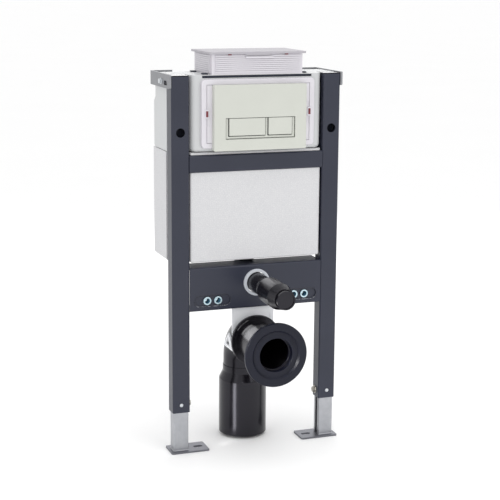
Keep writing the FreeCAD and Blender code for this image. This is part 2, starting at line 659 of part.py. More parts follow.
def cistern():
    """Hollow tank: a bare upper part and a narrower lower part inside the foam."""
    body = new_body("cistern_tank")
    front = plane_sketch(body, "XY", TANK_BOTTOM)
    joint = f"({TANK_REAR} + tank_wall)"
    rectangle(front, f"-{TANK_HALF}", TANK_HALF, "tank_front", joint)
    pad(body, front, "tank_height")
    round_edges(body, "tank_round", "z", lambda p: near(p.y, "tank_front"))
    round_outline(body, "tank_belly", "z", TANK_BOTTOM, lambda p: not near(p.y, joint))
    step_z = f"({TANK_TOP} - tank_step_drop)"
    rear = plane_sketch(body, "YZ")
    outline(rear, [
        (TANK_REAR, TANK_BOTTOM), (TANK_BACK, TANK_BOTTOM), (TANK_BACK, f"{step_z} - tank_step"),
        (SHAFT_BACK, step_z), (SHAFT_BACK, TANK_TOP), (TANK_REAR, TANK_TOP),
    ])
    pad(body, rear, f"2 * {TANK_SIDE}", middle=True)
    round_edges(body, "tank_edge", "x",
                lambda p: near(p.y, TANK_BACK) or (near(p.y, SHAFT_BACK) and near(p.z, TANK_TOP)))
    lower = plane_sketch(body, "XY", TANK_BOTTOM)
    rectangle(lower, f"-{LOWER_TANK_HALF}", LOWER_TANK_HALF, LOWER_TANK_FRONT, LOWER_TANK_BACK)
    pad(body, lower, f"{TANK_BOTTOM} - {LOWER_TANK_BOTTOM}", back=True)
    hollow_cistern(body)
    open_cistern(body)


def hollow_cistern(body):
    roof = f"{TANK_TOP} - tank_wall"
    depth = "tank_height - 2 * tank_wall"
    wide = plane_sketch(body, "XY", roof)
    side = f"({TANK_SIDE} - tank_wall)"
    rectangle(wide, f"-{side}", side, f"{TANK_REAR} + tank_wall", f"{SHAFT_BACK} - tank_wall")
    pocket(body, wide, depth)
    front = plane_sketch(body, "XY", roof)
    flank = f"({TANK_HALF} - tank_round)"
    rectangle(front, f"-{flank}", flank, "tank_front + tank_wall", f"{TANK_REAR} + tank_wall")
    pocket(body, front, depth)
    lower = plane_sketch(body, "XY", f"{TANK_BOTTOM} + tank_wall")
    flank = f"({LOWER_TANK_HALF} - tank_wall)"
    rectangle(lower, f"-{flank}", flank, f"{LOWER_TANK_FRONT} + tank_wall", f"{SHAFT_BACK} - tank_wall")
    pocket(body, lower, f"{TANK_BOTTOM} - {LOWER_TANK_BOTTOM}")


def open_cistern(body):
    """Openings: under the access box, behind the flush plate, the front slit and the hook slots."""
    shaft = plane_sketch(body, "XY", TANK_TOP)
    reach = "(shaft_width / 2 - shaft_wall)"
    rectangle(shaft, f"-{reach}", reach,
              "shaft_front + shaft_wall + tank_wall", f"{SHAFT_BACK} - shaft_wall - tank_wall")
    pocket(body, shaft, "tank_wall")
    hatch = plane_sketch(body, "XZ", "tank_front")
    hatch_rectangle(hatch)
    pocket(body, hatch, "tank_wall")
    slit = plane_sketch(body, "XZ", "tank_front")
    reach = "(bezel_width / 2 - slit_margin)"
    slit_top = f"({TANK_TOP} - slit_drop)"
    rectangle(slit, f"-{reach}", reach, f"{slit_top} - slit_height", slit_top)
    pocket(body, slit, "slit_depth")
    hooks = plane_sketch(body, "XY", TANK_TOP)
    near_x = "(shaft_width / 2 + top_slot_gap)"
    for side, sign in SIDES:
        for start in ("shaft_front + top_slot_inset", f"{SHAFT_BACK} - top_slot_inset - top_slot_depth"):
            rectangle(hooks, f"{sign} * {near_x}", f"{sign} * ({near_x} + top_slot_width)",
                      start, f"{start} + top_slot_depth")
    pocket(body, hooks, "tank_wall")


def hatch_rectangle(sketch):
    reach = "(bezel_width / 2 - hatch_margin)"
    rectangle(sketch, f"-{reach}", reach, f"{BEZEL_BOTTOM} + hatch_margin", f"{BEZEL_TOP} - hatch_margin")


def jacket_front():
    """Foam between the uprights, with a channel that seats on the upper crossbar."""
    body = new_body("jacket_front")
    block = plane_sketch(body, "XY", FOAM_BOTTOM)
    rectangle(block, f"-{TANK_HALF}", TANK_HALF, "foam_front", FOAM_SPLIT)
    pad(body, block, f"{FOAM_TOP} - {FOAM_BOTTOM}")
    round_edges(body, "foam_corner", "y", lambda p: near(p.z, FOAM_BOTTOM))
    round_outline(body, "foam_edge", "y", "foam_front")
    cut_tank_room(body)
    room = plane_sketch(body, "YZ")
    rectangle(room, "0", "upper_bar_depth + fit_gap", f"{UPPER_BOTTOM} - fit_gap", f"{UPPER_TOP} + fit_gap")
    pocket(body, room, "frame_width", middle=True)


def jacket_rear():
    """Foam behind the uprights, open towards the front half."""
    body = new_body("jacket_rear")
    block = plane_sketch(body, "XY", FOAM_BOTTOM)
    rectangle(block, f"-({HALF})", HALF, FOAM_SPLIT, FOAM_BACK)
    pad(body, block, f"{FOAM_TOP} - {FOAM_BOTTOM}")
    round_edges(body, "foam_round", "x", lambda p: near(p.y, FOAM_BACK) and near(p.z, FOAM_BOTTOM))
    round_edges(body, "foam_round", "z", lambda p: near(p.y, FOAM_BACK))
    cut_tank_room(body)
    pipe_hole = plane_sketch(body, "XY", FOAM_BOTTOM)
    circle(pipe_hole, "0", FLUSH_Y, f"2 * {FLUSH_PIPE_FIT}")
    pocket(body, pipe_hole, "foam_wall", back=True)


def cut_tank_room(body):
    room = plane_sketch(body, "XY", FOAM_TOP)
    reach = f"({LOWER_TANK_HALF} + fit_gap)"
    rectangle(room, f"-{reach}", reach, f"{LOWER_TANK_FRONT} - fit_gap", f"{LOWER_TANK_BACK} + fit_gap")
    pocket(body, room, f"{FOAM_TOP} - {LOWER_TANK_BOTTOM} + fit_gap")


def access_bezel():
    """Moulded surround of the front access opening, with a guide and a latch on each side."""
    body = new_body("access_bezel")
    edge = "bezel_width / 2"
    block = plane_sketch(body, "XZ", "tank_front")
    rectangle(block, f"-{edge}", edge, BEZEL_BOTTOM, BEZEL_TOP)
    pad(body, block, "bezel_depth")
    round_edges(body, "bezel_corner", "y")
    round_outline(body, "bezel_edge", "y", BEZEL_FRONT)
    groove = plane_sketch(body, "XZ", BEZEL_FRONT)
    for inset in ("0", "bezel_groove"):
        reach = f"({PANEL_HALF} - {inset})"
        rectangle(groove, f"-{reach}", reach,
                  f"{BEZEL_BOTTOM} + bezel_rim + {inset}", f"{BEZEL_TOP} - bezel_rim - {inset}")
    pocket(body, groove, "bezel_recess")
    seat = plane_sketch(body, "XZ", BEZEL_FRONT)
    reach = f"({FACE_HALF} + face_play)"
    rectangle(seat, f"-{reach}", reach, BEZEL_BOTTOM, f"{FACE_TOP} + face_play")
    pocket(body, seat, "bezel_recess")
    hatch = plane_sketch(body, "XZ", BEZEL_FRONT)
    hatch_rectangle(hatch)
    pocket(body, hatch, "bezel_depth")
    guides = plane_sketch(body, "XZ", BEZEL_FRONT)
    guide_top = f"({BEZEL_TOP} - guide_drop)"
    inner = f"({reach} + guide_gap)"
    outer = f"({PANEL_HALF} - bezel_groove - guide_gap)"
    for side, sign in SIDES:
        rectangle(guides, f"{sign} * {inner}", f"{sign} * {outer}", f"{guide_top} - guide_height", guide_top)
    pocket(body, guides, "guide_depth")
    latches = plane_sketch(body, "XZ", BEZEL_PANEL)
    latch_top = f"({BEZEL_TOP} - latch_drop)"
    inner = f"({edge} - latch_inset - latch_width / 2)"
    outer = f"({inner} + latch_width)"
    for side, sign in SIDES:
        rectangle(latches, f"{sign} * {inner}", f"{sign} * {outer}", f"{latch_top} - latch_height", latch_top)
    pad(body, latches, "bezel_recess + latch_proud")


def flush_plate():
    """Moulded plate, open at the back, with a recess for the two buttons."""
    body = new_body("flush_plate")
    thickness = f"(face_front + {BEZEL_PANEL})"
    front = "(-face_front)"
    face = plane_sketch(body, "XZ", front)
    rectangle(face, f"-{FACE_HALF}", FACE_HALF, FACE_BOTTOM, FACE_TOP)
    pad(body, face, thickness, back=True)
    round_edges(body, "face_corner", "y")
    round_outline(body, "face_edge", "y", front)
    hollow = plane_sketch(body, "XZ", BEZEL_PANEL)
    reach = f"({FACE_HALF} - face_sheet)"
    rectangle(hollow, f"-{reach}", reach, f"{FACE_BOTTOM} + face_sheet", f"{FACE_TOP} - face_sheet")
    tray = f"({RECESS_HALF} + face_sheet)"
    rectangle(hollow, f"-{tray}", tray, f"{RECESS_BOTTOM} - face_sheet", f"{RECESS_TOP} + face_sheet")
    pocket(body, hollow, f"{thickness} - face_sheet", back=True)
    recess = plane_sketch(body, "XZ", front)
    rectangle(recess, f"-{RECESS_HALF}", RECESS_HALF, RECESS_BOTTOM, RECESS_TOP)
    pocket(body, recess, "recess_depth")
    under = plane_sketch(body, "XZ", BEZEL_PANEL)
    rectangle(under, f"-{RECESS_HALF}", RECESS_HALF, RECESS_BOTTOM, RECESS_TOP)
    pocket(body, under, f"{thickness} - recess_depth - face_sheet", back=True)
    guides = plane_sketch(body, "XZ", front)
    for name, start, width in BUTTONS:
        circle(guides, f"{start} + {width} / 2", STEM_Z, "stem_diameter + 2 * stem_clearance")
    pocket(body, guides, thickness)


def flush_button(name, start, width):
    body = new_body(f"{name}_flush_button")
    front = "(-face_front - button_proud)"
    face = plane_sketch(body, "XZ", front)
    rectangle(face, start, f"{start} + {width}", BUTTON_BOTTOM, BUTTON_TOP)
    pad(body, face, "button_thickness", back=True)
    round_edges(body, "button_corner", "y")
    round_outline(body, "button_edge", "y", front)
    stem = plane_sketch(body, "XZ", f"{front} + button_thickness")
    circle(stem, f"{start} + {width} / 2", STEM_Z, "stem_diameter")
    pad(body, stem, "stem_length", back=True)


def access_box():
    """Ribbed box over the top opening of the cistern."""
    body = new_body("access_box")
    edge = "shaft_width / 2"
    wall = plane_sketch(body, "XY", TANK_TOP)
    rectangle(wall, f"-{edge}", edge, "shaft_front", SHAFT_BACK)
    inside = f"({edge} - shaft_wall)"
    rectangle(wall, f"-{inside}", inside, "shaft_front + shaft_wall", f"{SHAFT_BACK} - shaft_wall")
    pad(body, wall, "shaft_height")
    rib = plane_sketch(body, "XY", f"{TANK_TOP} + rib_start")
    run = f"({edge} - rib_corner)"
    sink = "shaft_wall / 2"
    rectangle(rib, f"-{run}", run, "shaft_front - rib_proud", f"shaft_front + {sink}")
    rectangle(rib, f"-{run}", run, f"{SHAFT_BACK} - {sink}", f"{SHAFT_BACK} + rib_proud")
    for side, sign in SIDES:
        rectangle(rib, f"{sign} * ({edge} - {sink})", f"{sign} * ({edge} + rib_proud)",
                  "shaft_front + rib_corner", f"{SHAFT_BACK} - rib_corner")
    first_rib = pad(body, rib, "rib_height")
    ribs = body.newObject("PartDesign::LinearPattern", "access_box_ribs")
    ribs.Originals = [first_rib]
    upwards = next(f for f in body.Origin.OriginFeatures if f.Role == "Z_Axis")
    ribs.Direction = (upwards, [""])
    ribs.setExpression("Length", bound("shaft_height - rib_start - rib_end - rib_height"))
    ribs.setExpression("Occurrences", bound("rib_count"))
    finish_feature(body, ribs)


def access_box_lid():
    """Flanged lid with a rim inside the box and a grip tab at the front."""
    body = new_body("access_box_lid")
    edge = "(shaft_width / 2 + lid_overhang)"
    front = "(shaft_front - lid_overhang)"
    flange = plane_sketch(body, "XY", SHAFT_TOP)
    rectangle(flange, f"-{edge}", edge, front, f"{SHAFT_BACK} + lid_overhang")
    pad(body, flange, "lid_thickness")
    round_edges(body, "lid_corner", "z")
    skirt = plane_sketch(body, "XY", SHAFT_TOP)
    outer = "(shaft_width / 2 - shaft_wall - lid_play)"
    low = "shaft_front + shaft_wall + lid_play"
    high = f"{SHAFT_BACK} - shaft_wall - lid_play"
    rectangle(skirt, f"-{outer}", outer, low, high)
    inner = f"({outer} - shaft_wall)"
    rectangle(skirt, f"-{inner}", inner, f"{low} + shaft_wall", f"{high} - shaft_wall")
    pad(body, skirt, "lid_skirt", back=True)
    tab = plane_sketch(body, "XZ", front)
    rectangle(tab, "-lid_tab_width / 2", "lid_tab_width / 2",
              f"{SHAFT_TOP} - lid_tab_drop", f"{SHAFT_TOP} + lid_thickness / 2")
    pad(body, tab, "lid_tab_thickness", back=True)


def tube_sections(sketch, x, y, diameter, wall):
    circle(sketch, x, y, diameter)
    circle(sketch, x, y, f"{diameter} - 2 * {wall}")


def flush_pipe():
    """Pipe from the cistern's outlet, bent forwards through the lower bar."""
    body = new_body("flush_pipe")
    size = ("flush_pipe_diameter", "flush_pipe_wall")
    bend_y = f"({FLUSH_Y} - flush_bend)"
    run = plane_sketch(body, "XZ", "-flush_reach")
    tube_sections(run, "0", FLUSH_Z, *size)
    pad(body, run, f"flush_reach + {bend_y}", back=True)
    bend = plane_sketch(body, "XZ", bend_y, up=FLUSH_BEND_Z)
    tube_sections(bend, "0", "-flush_bend", *size)
    revolve(body, bend, angle="90")
    rise = plane_sketch(body, "XY", FLUSH_BEND_Z)
    tube_sections(rise, "0", FLUSH_Y, *size)
    pad(body, rise, "flush_outlet")


def flush_fittings():
    """Sleeve ring in the bar, sealing collar on the pipe and the cap in its end."""
    flange = f"({SLEEVE_RADIUS} + ring_lip)"
    bore = f"({FLUSH_PIPE_FIT} + ring_play)"
    ring = turned("flush_pipe_ring", FLUSH_Z, [
        ("-ring_thickness", bore), ("-ring_thickness", flange), ("0", flange),
        ("0", SLEEVE_RADIUS), ("ring_sleeve", SLEEVE_RADIUS), ("ring_sleeve", bore),
    ])
    round_rim(ring, "ring_edge", flange, "y", "-ring_thickness")
    outer = f"({FLUSH_PIPE_FIT} + collar_wall)"
    grip = "(flush_pipe_diameter / 2 - cap_inset)"
    nose = "(-flush_reach - collar_lap)"
    start = f"({nose} + collar_length)"
    seat = "(-flush_reach - fit_gap)"
    turned("flush_pipe_collar", FLUSH_Z, [
        (start, FLUSH_PIPE_FIT), (f"{start} - collar_slope", outer), (f"{nose} + collar_taper", outer),
        (nose, f"{grip} + fit_gap + collar_nose"), (nose, f"{grip} + fit_gap"), (seat, f"{grip} + fit_gap"),
        (seat, FLUSH_PIPE_FIT),
    ])
    plug = "(flush_pipe_diameter / 2 - flush_pipe_wall - fit_gap)"
    end = "(-flush_reach - cap_length)"
    turned("flush_pipe_cap", FLUSH_Z, [
        (f"{end} + cap_dish", "0"), (f"{end} + cap_dish", f"{grip} - cap_rim"),
        (end, f"{grip} - cap_rim"), (end, grip), ("-flush_reach", grip), ("-flush_reach", plug),
        ("cap_plug - flush_reach", plug), ("cap_plug - flush_reach", "0"),
    ])


def waste_bend():
    body = new_body("waste_bend")
    size = ("waste_diameter", "waste_wall")
    run = plane_sketch(body, "XZ", BEND_START)
    tube_sections(run, "0", WASTE_Z, *size)
    pad(body, run, f"{BEND_Y} - {BEND_START}", back=True)
    bend = plane_sketch(body, "XZ", BEND_Y, up=BEND_Z)
    tube_sections(bend, "0", "waste_bend", *size)
    revolve(body, bend, angle="90", back=True)
    leg = plane_sketch(body, "XY", BEND_Z)
    tube_sections(leg, "0", WASTE_Y, *size)
    pad(body, leg, f"{BEND_Z} - {BEND_END}", back=True)


def waste_reducer():
    """Reducer from the bend to the outlet spigot, with its neck inside the bend."""
    body = new_body("waste_reducer")
    sketch = plane_sketch(body, "YZ", across=WASTE_Y)
    neck = "(waste_diameter / 2 - waste_wall - fit_gap)"
    collar = "(waste_diameter / 2 + reducer_step)"
    spigot = "outlet_diameter / 2"
    outline(sketch, [
        (f"{neck} - outlet_wall", f"{BEND_END} + neck_length"), (neck, f"{BEND_END} + neck_length"),
        (neck, BEND_END), (collar, BEND_END), (collar, SHOULDER_Z), (spigot, SPIGOT_Z),
        (spigot, OUTLET_Z), (f"{spigot} - outlet_wall", OUTLET_Z),
        (f"{spigot} - outlet_wall", SPIGOT_Z), (f"{neck} - outlet_wall", SHOULDER_Z),
    ])
    revolve(body, sketch, axis="V_Axis")
    round_rim(body, "shoulder_round", spigot, "z", SPIGOT_Z)
    round_rim(body, "spigot_edge", spigot, "z", OUTLET_Z)


def pan_connection():
    """Socket ring on the bend, connector tube and pan seal."""
    flange = f"({WASTE_FIT} + socket_ring_wall)"
    ring_back = f"({MOUTH_Y} + socket_ring_depth)"
    groove_floor = f"({MOUTH_Y} + socket_groove_depth)"
    groove_outer = f"({flange} - socket_groove_inset)"
    groove_inner = f"({groove_outer} - socket_groove_width)"
    lip = f"({MOUTH_Y} + socket_lip)"
    flange_back = f"({MOUTH_Y} + socket_flange)"
    hub = f"({WASTE_FIT} + socket_hub)"
    ring = turned("waste_socket_ring", WASTE_Z, [
        (lip, WASTE_FIT), (lip, groove_inner), (groove_floor, groove_inner),
        (groove_floor, groove_outer), (MOUTH_Y, groove_outer), (MOUTH_Y, flange),
        (flange_back, flange), (flange_back, hub), (ring_back, hub), (ring_back, WASTE_FIT),
    ])
    round_rim(ring, "socket_ring_edge", flange, "y", MOUTH_Y)
    outer = "waste_diameter / 2"
    front = f"({MOUTH_Y} - connector_length)"
    end = f"({BEND_START} - fit_gap)"
    inner = f"({outer} - connector_wall)"
    turned("pan_connector", WASTE_Z, [(front, inner), (front, outer), (end, outer), (end, inner)])
    rim = f"({WASTE_FIT} + seal_wall)"
    dish = f"({rim} - seal_rim)"
    seat = f"({front} - fit_gap)"
    back = f"({front} + seal_grip)"
    face = f"({back} - seal_depth)"
    bore = "seal_bore / 2"
    mouth_lip = f"({bore} - seal_lip)"
    seal = turned("pan_seal", WASTE_Z, [
        (f"{face} + seal_dish", bore), (f"{face} + seal_step", f"{dish} - seal_step"),
        (face, dish), (face, rim),
        (f"{face} + seal_flange", rim), (back, f"{WASTE_FIT} + seal_hub"), (back, WASTE_FIT),
        (seat, WASTE_FIT), (seat, mouth_lip), (f"{seat} - seal_lip_depth", mouth_lip),
        (f"{seat} - seal_lip_depth", bore),
    ])
    round_rim(seal, "seal_round", rim, "y", face)


def waste_holder():
    """Moulded holder under the lower bar: an arch over the bend and two windowed gussets."""
    body = new_body("waste_holder")
    inside = "(waste_diameter / 2 + holder_play)"
    outside = f"({inside} + holder_sheet)"
    bottom = f"({LOWER_BOTTOM} - holder_drop)"
    front = f"({BEND_Y} - holder_setback)"
    back = f"({front} + holder_sheet)"
    plate = plane_sketch(body, "XZ", front)
    rectangle(plate, f"-{outside}", outside, bottom, LOWER_BOTTOM)
    pad(body, plate, "holder_sheet", back=True)
    panel = plane_sketch(body, "XZ", front)
    reach = f"({outside} - holder_border)"
    rectangle(panel, f"-{reach}", reach, bottom, f"{LOWER_BOTTOM} - holder_crease")
    pocket(body, panel, "holder_panel")
    foot = plane_sketch(body, "XY", LOWER_BOTTOM)
    rectangle(foot, f"-{outside}", outside, front, f"{back} + holder_foot")
    pad(body, foot, "holder_sheet", back=True)
    hole = plane_sketch(body, "XZ", front)
    circle(hole, "0", WASTE_Z, f"2 * {inside}")
    pocket(body, hole, "holder_sheet")
    apex_y = f"({back} + gusset_apex)"
    window_y = f"({apex_y} + window_shift)"
    sill = f"({bottom} + gusset_member)"
    for side, sign in SIDES:
        gusset = plane_sketch(body, "YZ", f"{sign} * {inside}")
        outline(gusset, [
            (front, bottom), (f"{back} + gusset_length", bottom), (apex_y, f"{bottom} + gusset_height"),
            (back, f"{bottom} + gusset_front"), (front, f"{bottom} + gusset_front"),
        ])
        outline(gusset, [
            (f"{window_y} - window_width / 2", sill), (f"{window_y} + window_width / 2", sill),
            (window_y, f"{sill} + window_height"),
        ])
        pad(body, gusset, "holder_sheet", back=sign < 0)


def main():
    for side, sign in SIDES:
        upright(side, sign)
    channel("upper_crossbar", UPPER_BOTTOM, UPPER_TOP, "upper_bar_depth")
    lower_crossbar()
    for side, sign in SIDES:
        pan_bolt_holding(side, sign)
        foot_leg(side, sign)
        foot_plate(side, sign)
        wall_bracket(side, sign)
    cistern()
    jacket_front()
    jacket_rear()
    access_bezel()
    flush_plate()
    for name, start, width in BUTTONS:
        flush_button(name, start, width)
    access_box()
    access_box_lid()
    flush_pipe()
    flush_fittings()
    waste_bend()
    waste_reducer()
    pan_connection()
    waste_holder()


def place_parts():
    for part in PARTS:
        for axis, words in zip("xyz", DATUM):
            part.setExpression(f"Placement.Base.{axis}", bound(f"-({words})"))
    doc.recompute()


def check_and_write():
    for thing in doc.Objects:
        if "Invalid" in thing.State or "Error" in thing.State:
            raise RuntimeError(f"{thing.Label} did not compute")
    for part in PARTS:
        if part.Shape.isNull() or not part.Shape.isValid():
            raise RuntimeError(f"{part.Label} has no valid shape")
    os.makedirs("parts", exist_ok=True)
    for part in PARTS:
        part.Shape.exportStep(f"parts/{part.Label}.step")
        box = part.Shape.BoundBox
        print(f"{part.Label}: {len(part.Shape.Solids)} solid, {part.Shape.Volume / 1000:.1f} cm3,"
              f" {box.XLength:.0f} x {box.YLength:.0f} x {box.ZLength:.0f}")


main()
place_parts()
check_and_write()
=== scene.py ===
# %% [markdown]
# # Dressing a wall hung toilet frame
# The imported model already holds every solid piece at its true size: steel frame, cistern, foam,
# flush plate, pipes and feet. This lesson gives each of them the finish that the real one has,
# adds the fasteners and small trim that the solids leave out, and sets up a studio.
# Nothing here moves or resizes a solid, and new pieces take their places from the solids' boxes
# and from a fitter's datums.

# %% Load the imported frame
import json
import math
from collections import namedtuple

import bmesh
import bpy
from mathutils import Matrix, Vector


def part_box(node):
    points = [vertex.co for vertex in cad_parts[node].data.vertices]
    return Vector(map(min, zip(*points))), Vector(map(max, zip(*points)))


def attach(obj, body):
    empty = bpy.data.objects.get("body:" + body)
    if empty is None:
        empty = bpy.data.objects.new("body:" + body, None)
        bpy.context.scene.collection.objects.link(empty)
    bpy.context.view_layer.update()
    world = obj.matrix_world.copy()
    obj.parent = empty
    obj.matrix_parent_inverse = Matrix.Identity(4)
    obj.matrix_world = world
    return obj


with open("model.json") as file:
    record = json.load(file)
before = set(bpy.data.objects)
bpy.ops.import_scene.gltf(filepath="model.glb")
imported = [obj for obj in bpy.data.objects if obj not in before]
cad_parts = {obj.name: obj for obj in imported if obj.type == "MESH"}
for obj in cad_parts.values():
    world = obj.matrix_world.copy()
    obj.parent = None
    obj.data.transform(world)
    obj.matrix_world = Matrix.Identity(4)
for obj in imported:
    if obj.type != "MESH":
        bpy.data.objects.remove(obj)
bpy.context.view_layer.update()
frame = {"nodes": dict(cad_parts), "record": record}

print("loaded", len(frame["nodes"]), "solids")

# %% [markdown]
# A fitter measures such a frame from its centre line, from the front face of the uprights and
# from the floor. Those three datums are read off the solids once. `spot` turns a fitter's
# millimetres into a point of the scene, and `measure` gives a solid's box in the same millimetres,
# rounded to a hundredth, because a mesh comes only close to a round size. The other choice, typing
# scene coordinates, would hide where a screw belongs.

# %% The fitter's datums
MM = 0.001
frame_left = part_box("left_upright")[0]
frame_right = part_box("right_upright")[1]
floor_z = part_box("left_foot_plate")[0].z
datum = Vector(((frame_left.x + frame_right.x) / 2, frame_left.y, floor_z))
Box = namedtuple("Box", ("low", "high", "middle"))


def spot(x, y, z):
    """Point at millimetres from the centre line, the uprights' front and the floor."""
    return datum + Vector((x, y, z)) * MM


def measure(node):
    """Box of a solid, in millimetres from the datums."""
    corners = [(corner - datum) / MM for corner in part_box(node)]
    low, high = [Vector([round(v, 2) for v in corner]) for corner in corners]
    return Box(low, high, (low + high) / 2)


print("datum at", [round(v, 4) for v in datum])

# %% [markdown]
# Shader graphs read badly as lists of nodes and links. A small class wraps a socket, so that
# masks can be written as sums and products, and a second one holds the material that is being
# mixed. Every node, a Math node too, comes from its one method, `node`.


# %% Sockets that can be added and multiplied
class Field:
    """A value that varies over a surface."""

    def __init__(self, finish, socket):
        self.finish = finish
        self.socket = socket

    def math(self, operation, first, second):
        values = {0: first, 1: second}
        return self.finish.node("ShaderNodeMath", {"operation": operation}, values)

    def __add__(self, other):
        return self.math("ADD", self, other)

    def __radd__(self, other):
        return self.math("ADD", other, self)

    def __sub__(self, other):
        return self.math("SUBTRACT", self, other)

    def __rsub__(self, other):
        return self.math("SUBTRACT", other, self)

    def __mul__(self, other):
        return self.math("MULTIPLY", self, other)

    def __rmul__(self, other):
        return self.math("MULTIPLY", other, self)


class Finish:
    """A material under construction, on Object coordinates."""

    def __init__(self, name):
        self.material = bpy.data.materials.new(name)
        self.material.use_nodes = True
        self.tree = self.material.node_tree
        self.shader = self.tree.nodes["Principled BSDF"]
        self.place = self.node("ShaderNodeTexCoord", out="Object")

    def node(self, kind, settings=(), sockets=(), out=0):
        made = self.tree.nodes.new(kind)
        for key, value in dict(settings).items():
            if key == "stops":
                self.set_stops(made.color_ramp, value)
            else:
                setattr(made, key, value)
        for key, value in dict(sockets).items():
            self.feed(made.inputs[key], value)
        return Field(self, made.outputs[out])

    def set_stops(self, ramp, stops):
        while len(ramp.elements) < len(stops):
            ramp.elements.new(1.0)
        for element, (position, grey) in zip(ramp.elements, stops):
            element.position = position
            element.color = (grey, grey, grey, 1.0)

    def feed(self, socket, value):
        if isinstance(value, Field):
            self.tree.links.new(value.socket, socket)
        else:
            socket.default_value = value

    def surface(self, values):
        """Feed the shader and hand over the finished material."""
        for key, value in values.items():
            self.feed(self.shader.inputs[key], value)
        print("finish", self.material.name)
        return self.material

    def noise(self, size, detail=2.0, place=None):
        """Cloudy grey from 0 to 1 whose blotches are about size metres wide."""
        sockets = {"Vector": place or self.place, "Scale": 1 / size, "Detail": detail}
        return self.node("ShaderNodeTexNoise", sockets=sockets, out="Fac")

    def stretched(self, scale):
        """Object coordinates squeezed along some axes, for drawn or brushed grain."""
        sockets = {"Vector": self.place, "Scale": scale}
        return self.node("ShaderNodeMapping", sockets=sockets)

    def ramp(self, value, stops):
        return self.node("ShaderNodeValToRGB", {"stops": stops}, {"Fac": value})

    def blend(self, amount, first, second):
        """Mix of two colours."""
        sockets = {"Factor": amount, 6: first, 7: second}
        return self.node("ShaderNodeMix", {"data_type": "RGBA"}, sockets, out=2)

    def bump(self, height, depth, strength=1.0):
        """Normal of a relief that is depth metres high where height is 1."""
        sockets = {"Height": height, "Distance": depth, "Strength": strength}
        return self.node("ShaderNodeBump", sockets=sockets)


def linear(red, green, blue):
    """Colour as a picture editor shows it, 0 to 255, in the linear values that shaders take."""
    def channel(value):
        share = value / 255
        if share <= 0.04045:
            return share / 12.92
        return ((share + 0.055) / 1.055) ** 2.4
    return (channel(red), channel(green), channel(blue), 1.0)


print("shader tools ready")

# %% [markdown]
# The uprights and crossbars are welded steel under dark grey powder coat. Baked powder flows
# like thick paint, so it is smooth but never flat: it has an orange-peel dimple about a
# millimetre wide and a gloss that wanders a little. Two noises give just that. `finishes` keeps
# each finish under the record's name for its slot.


# %% Powder coat
def powder_coat():
    finish = Finish("frame_powder_coat")
    peel = finish.noise(1.6 * MM, detail=1.0)
    drift = finish.noise(90 * MM)
    return finish.surface({
        "Base Color": finish.blend(drift, linear(39, 42, 56), linear(46, 49, 63)),
        "Roughness": 0.26 + 0.10 * drift + 0.05 * peel,
        "Normal": finish.bump(peel, 0.02 * MM),
        "Specular IOR Level": 0.4,
    })


finishes = {"frame_paint": powder_coat()}

# %% [markdown]
# Feet, foot plates and wall brackets are zinc plated sheet: a grey metal with a fine rolling
# grain along the sheet and faint cloudy patches where the plating is thicker. Brackets and foot
# plates are duller than the legs, and the foot plates are also darker, painted shade for the
# darker surroundings that they mirror. The threaded sockets have a bluish passivated zinc,
# brighter and smoother. One recipe serves them all, because only tint, gloss and grain differ.

# %% Zinc
LEVEL_GRAIN = (60, 60, 900)
SIDEWAYS_GRAIN = (60, 900, 60)
EVEN_GRAIN = (300, 300, 300)


def zinc(name, dull, bright, rough, grain):
    """Plated steel whose grain changes that many times a metre along x, y and z."""
    finish = Finish(name)
    rolling = finish.noise(1.0, detail=3.0, place=finish.stretched(grain))
    cloud = finish.noise(14 * MM, detail=3.0)
    return finish.surface({
        "Base Color": finish.blend(cloud, dull, bright),
        "Metallic": 1.0,
        "Roughness": rough + 0.16 * cloud + 0.10 * rolling,
        "Normal": finish.bump(rolling, 0.015 * MM),
    })


finishes["zinc"] = zinc("sheet_zinc", linear(160, 162, 167), linear(190, 191, 195), 0.32, LEVEL_GRAIN)
# Painted shade: the foot plates' zinc is darker than the legs' for the darker surroundings that it
# mirrors.
plate_shade_zinc = zinc("plate_shade_zinc", linear(104, 105, 112), linear(130, 131, 137), 0.36, SIDEWAYS_GRAIN)
bracket_zinc = zinc("bracket_zinc", linear(134, 135, 139), linear(160, 161, 164), 0.34, SIDEWAYS_GRAIN)
socket_zinc = zinc("socket_zinc", linear(168, 196, 208), linear(214, 232, 238), 0.20, EVEN_GRAIN)

# %% [markdown]
# Cistern, bezel, access box and holder are injection or blow moulded plastic. All share one
# recipe, a very fine spark-eroded grain and a slow drift of tone, and differ in tint and gloss.


# %% Moulded plastic
def moulded(name, shade, tint, rough):
    finish = Finish(name)
    speck = finish.noise(0.7 * MM, detail=1.0)
    drift = finish.noise(60 * MM)
    return finish.surface({
        "Base Color": finish.blend(drift, shade, tint),
        "Roughness": rough + 0.10 * drift + 0.06 * speck,
        "Normal": finish.bump(speck, 0.012 * MM),
    })


finishes["tank_plastic"] = moulded("tank_plastic", linear(192, 194, 195), linear(201, 202, 203), 0.34)
finishes["bezel_plastic"] = moulded("bezel_plastic", linear(210, 207, 213), linear(218, 215, 221), 0.30)
finishes["plate_finish"] = moulded("plate_satin", linear(196, 198, 190), linear(202, 204, 196), 0.26)
# Painted light: the holder's white is brighter than the other moulded whites to make up for the shade that
# it stands in under the lower bar.
finishes["holder_white"] = moulded("holder_white", linear(240, 242, 246), linear(247, 248, 251), 0.42)
finishes["ring_grey"] = moulded("ring_grey", linear(196, 201, 208), linear(206, 210, 217), 0.40)
# Painted shade: the lid is the box's plastic, darkened where the light falls on its top.
lid_shaded_plastic = moulded("lid_shaded_plastic", linear(172, 169, 175), linear(179, 176, 182), 0.50)

# %% [markdown]
# The foam jacket is expanded bead foam. Beads of about four millimetres are steamed together
# in a mould, so the skin is a mosaic of rounded cells with thin sunken joints, and each bead
# takes the light a little differently. A Voronoi texture is that mosaic: the distance to a cell's
# edge gives the crown of each bead, and the cell's colour the change of tone.

# %% Bead foam
BEAD_SIZE = 4.2 * MM


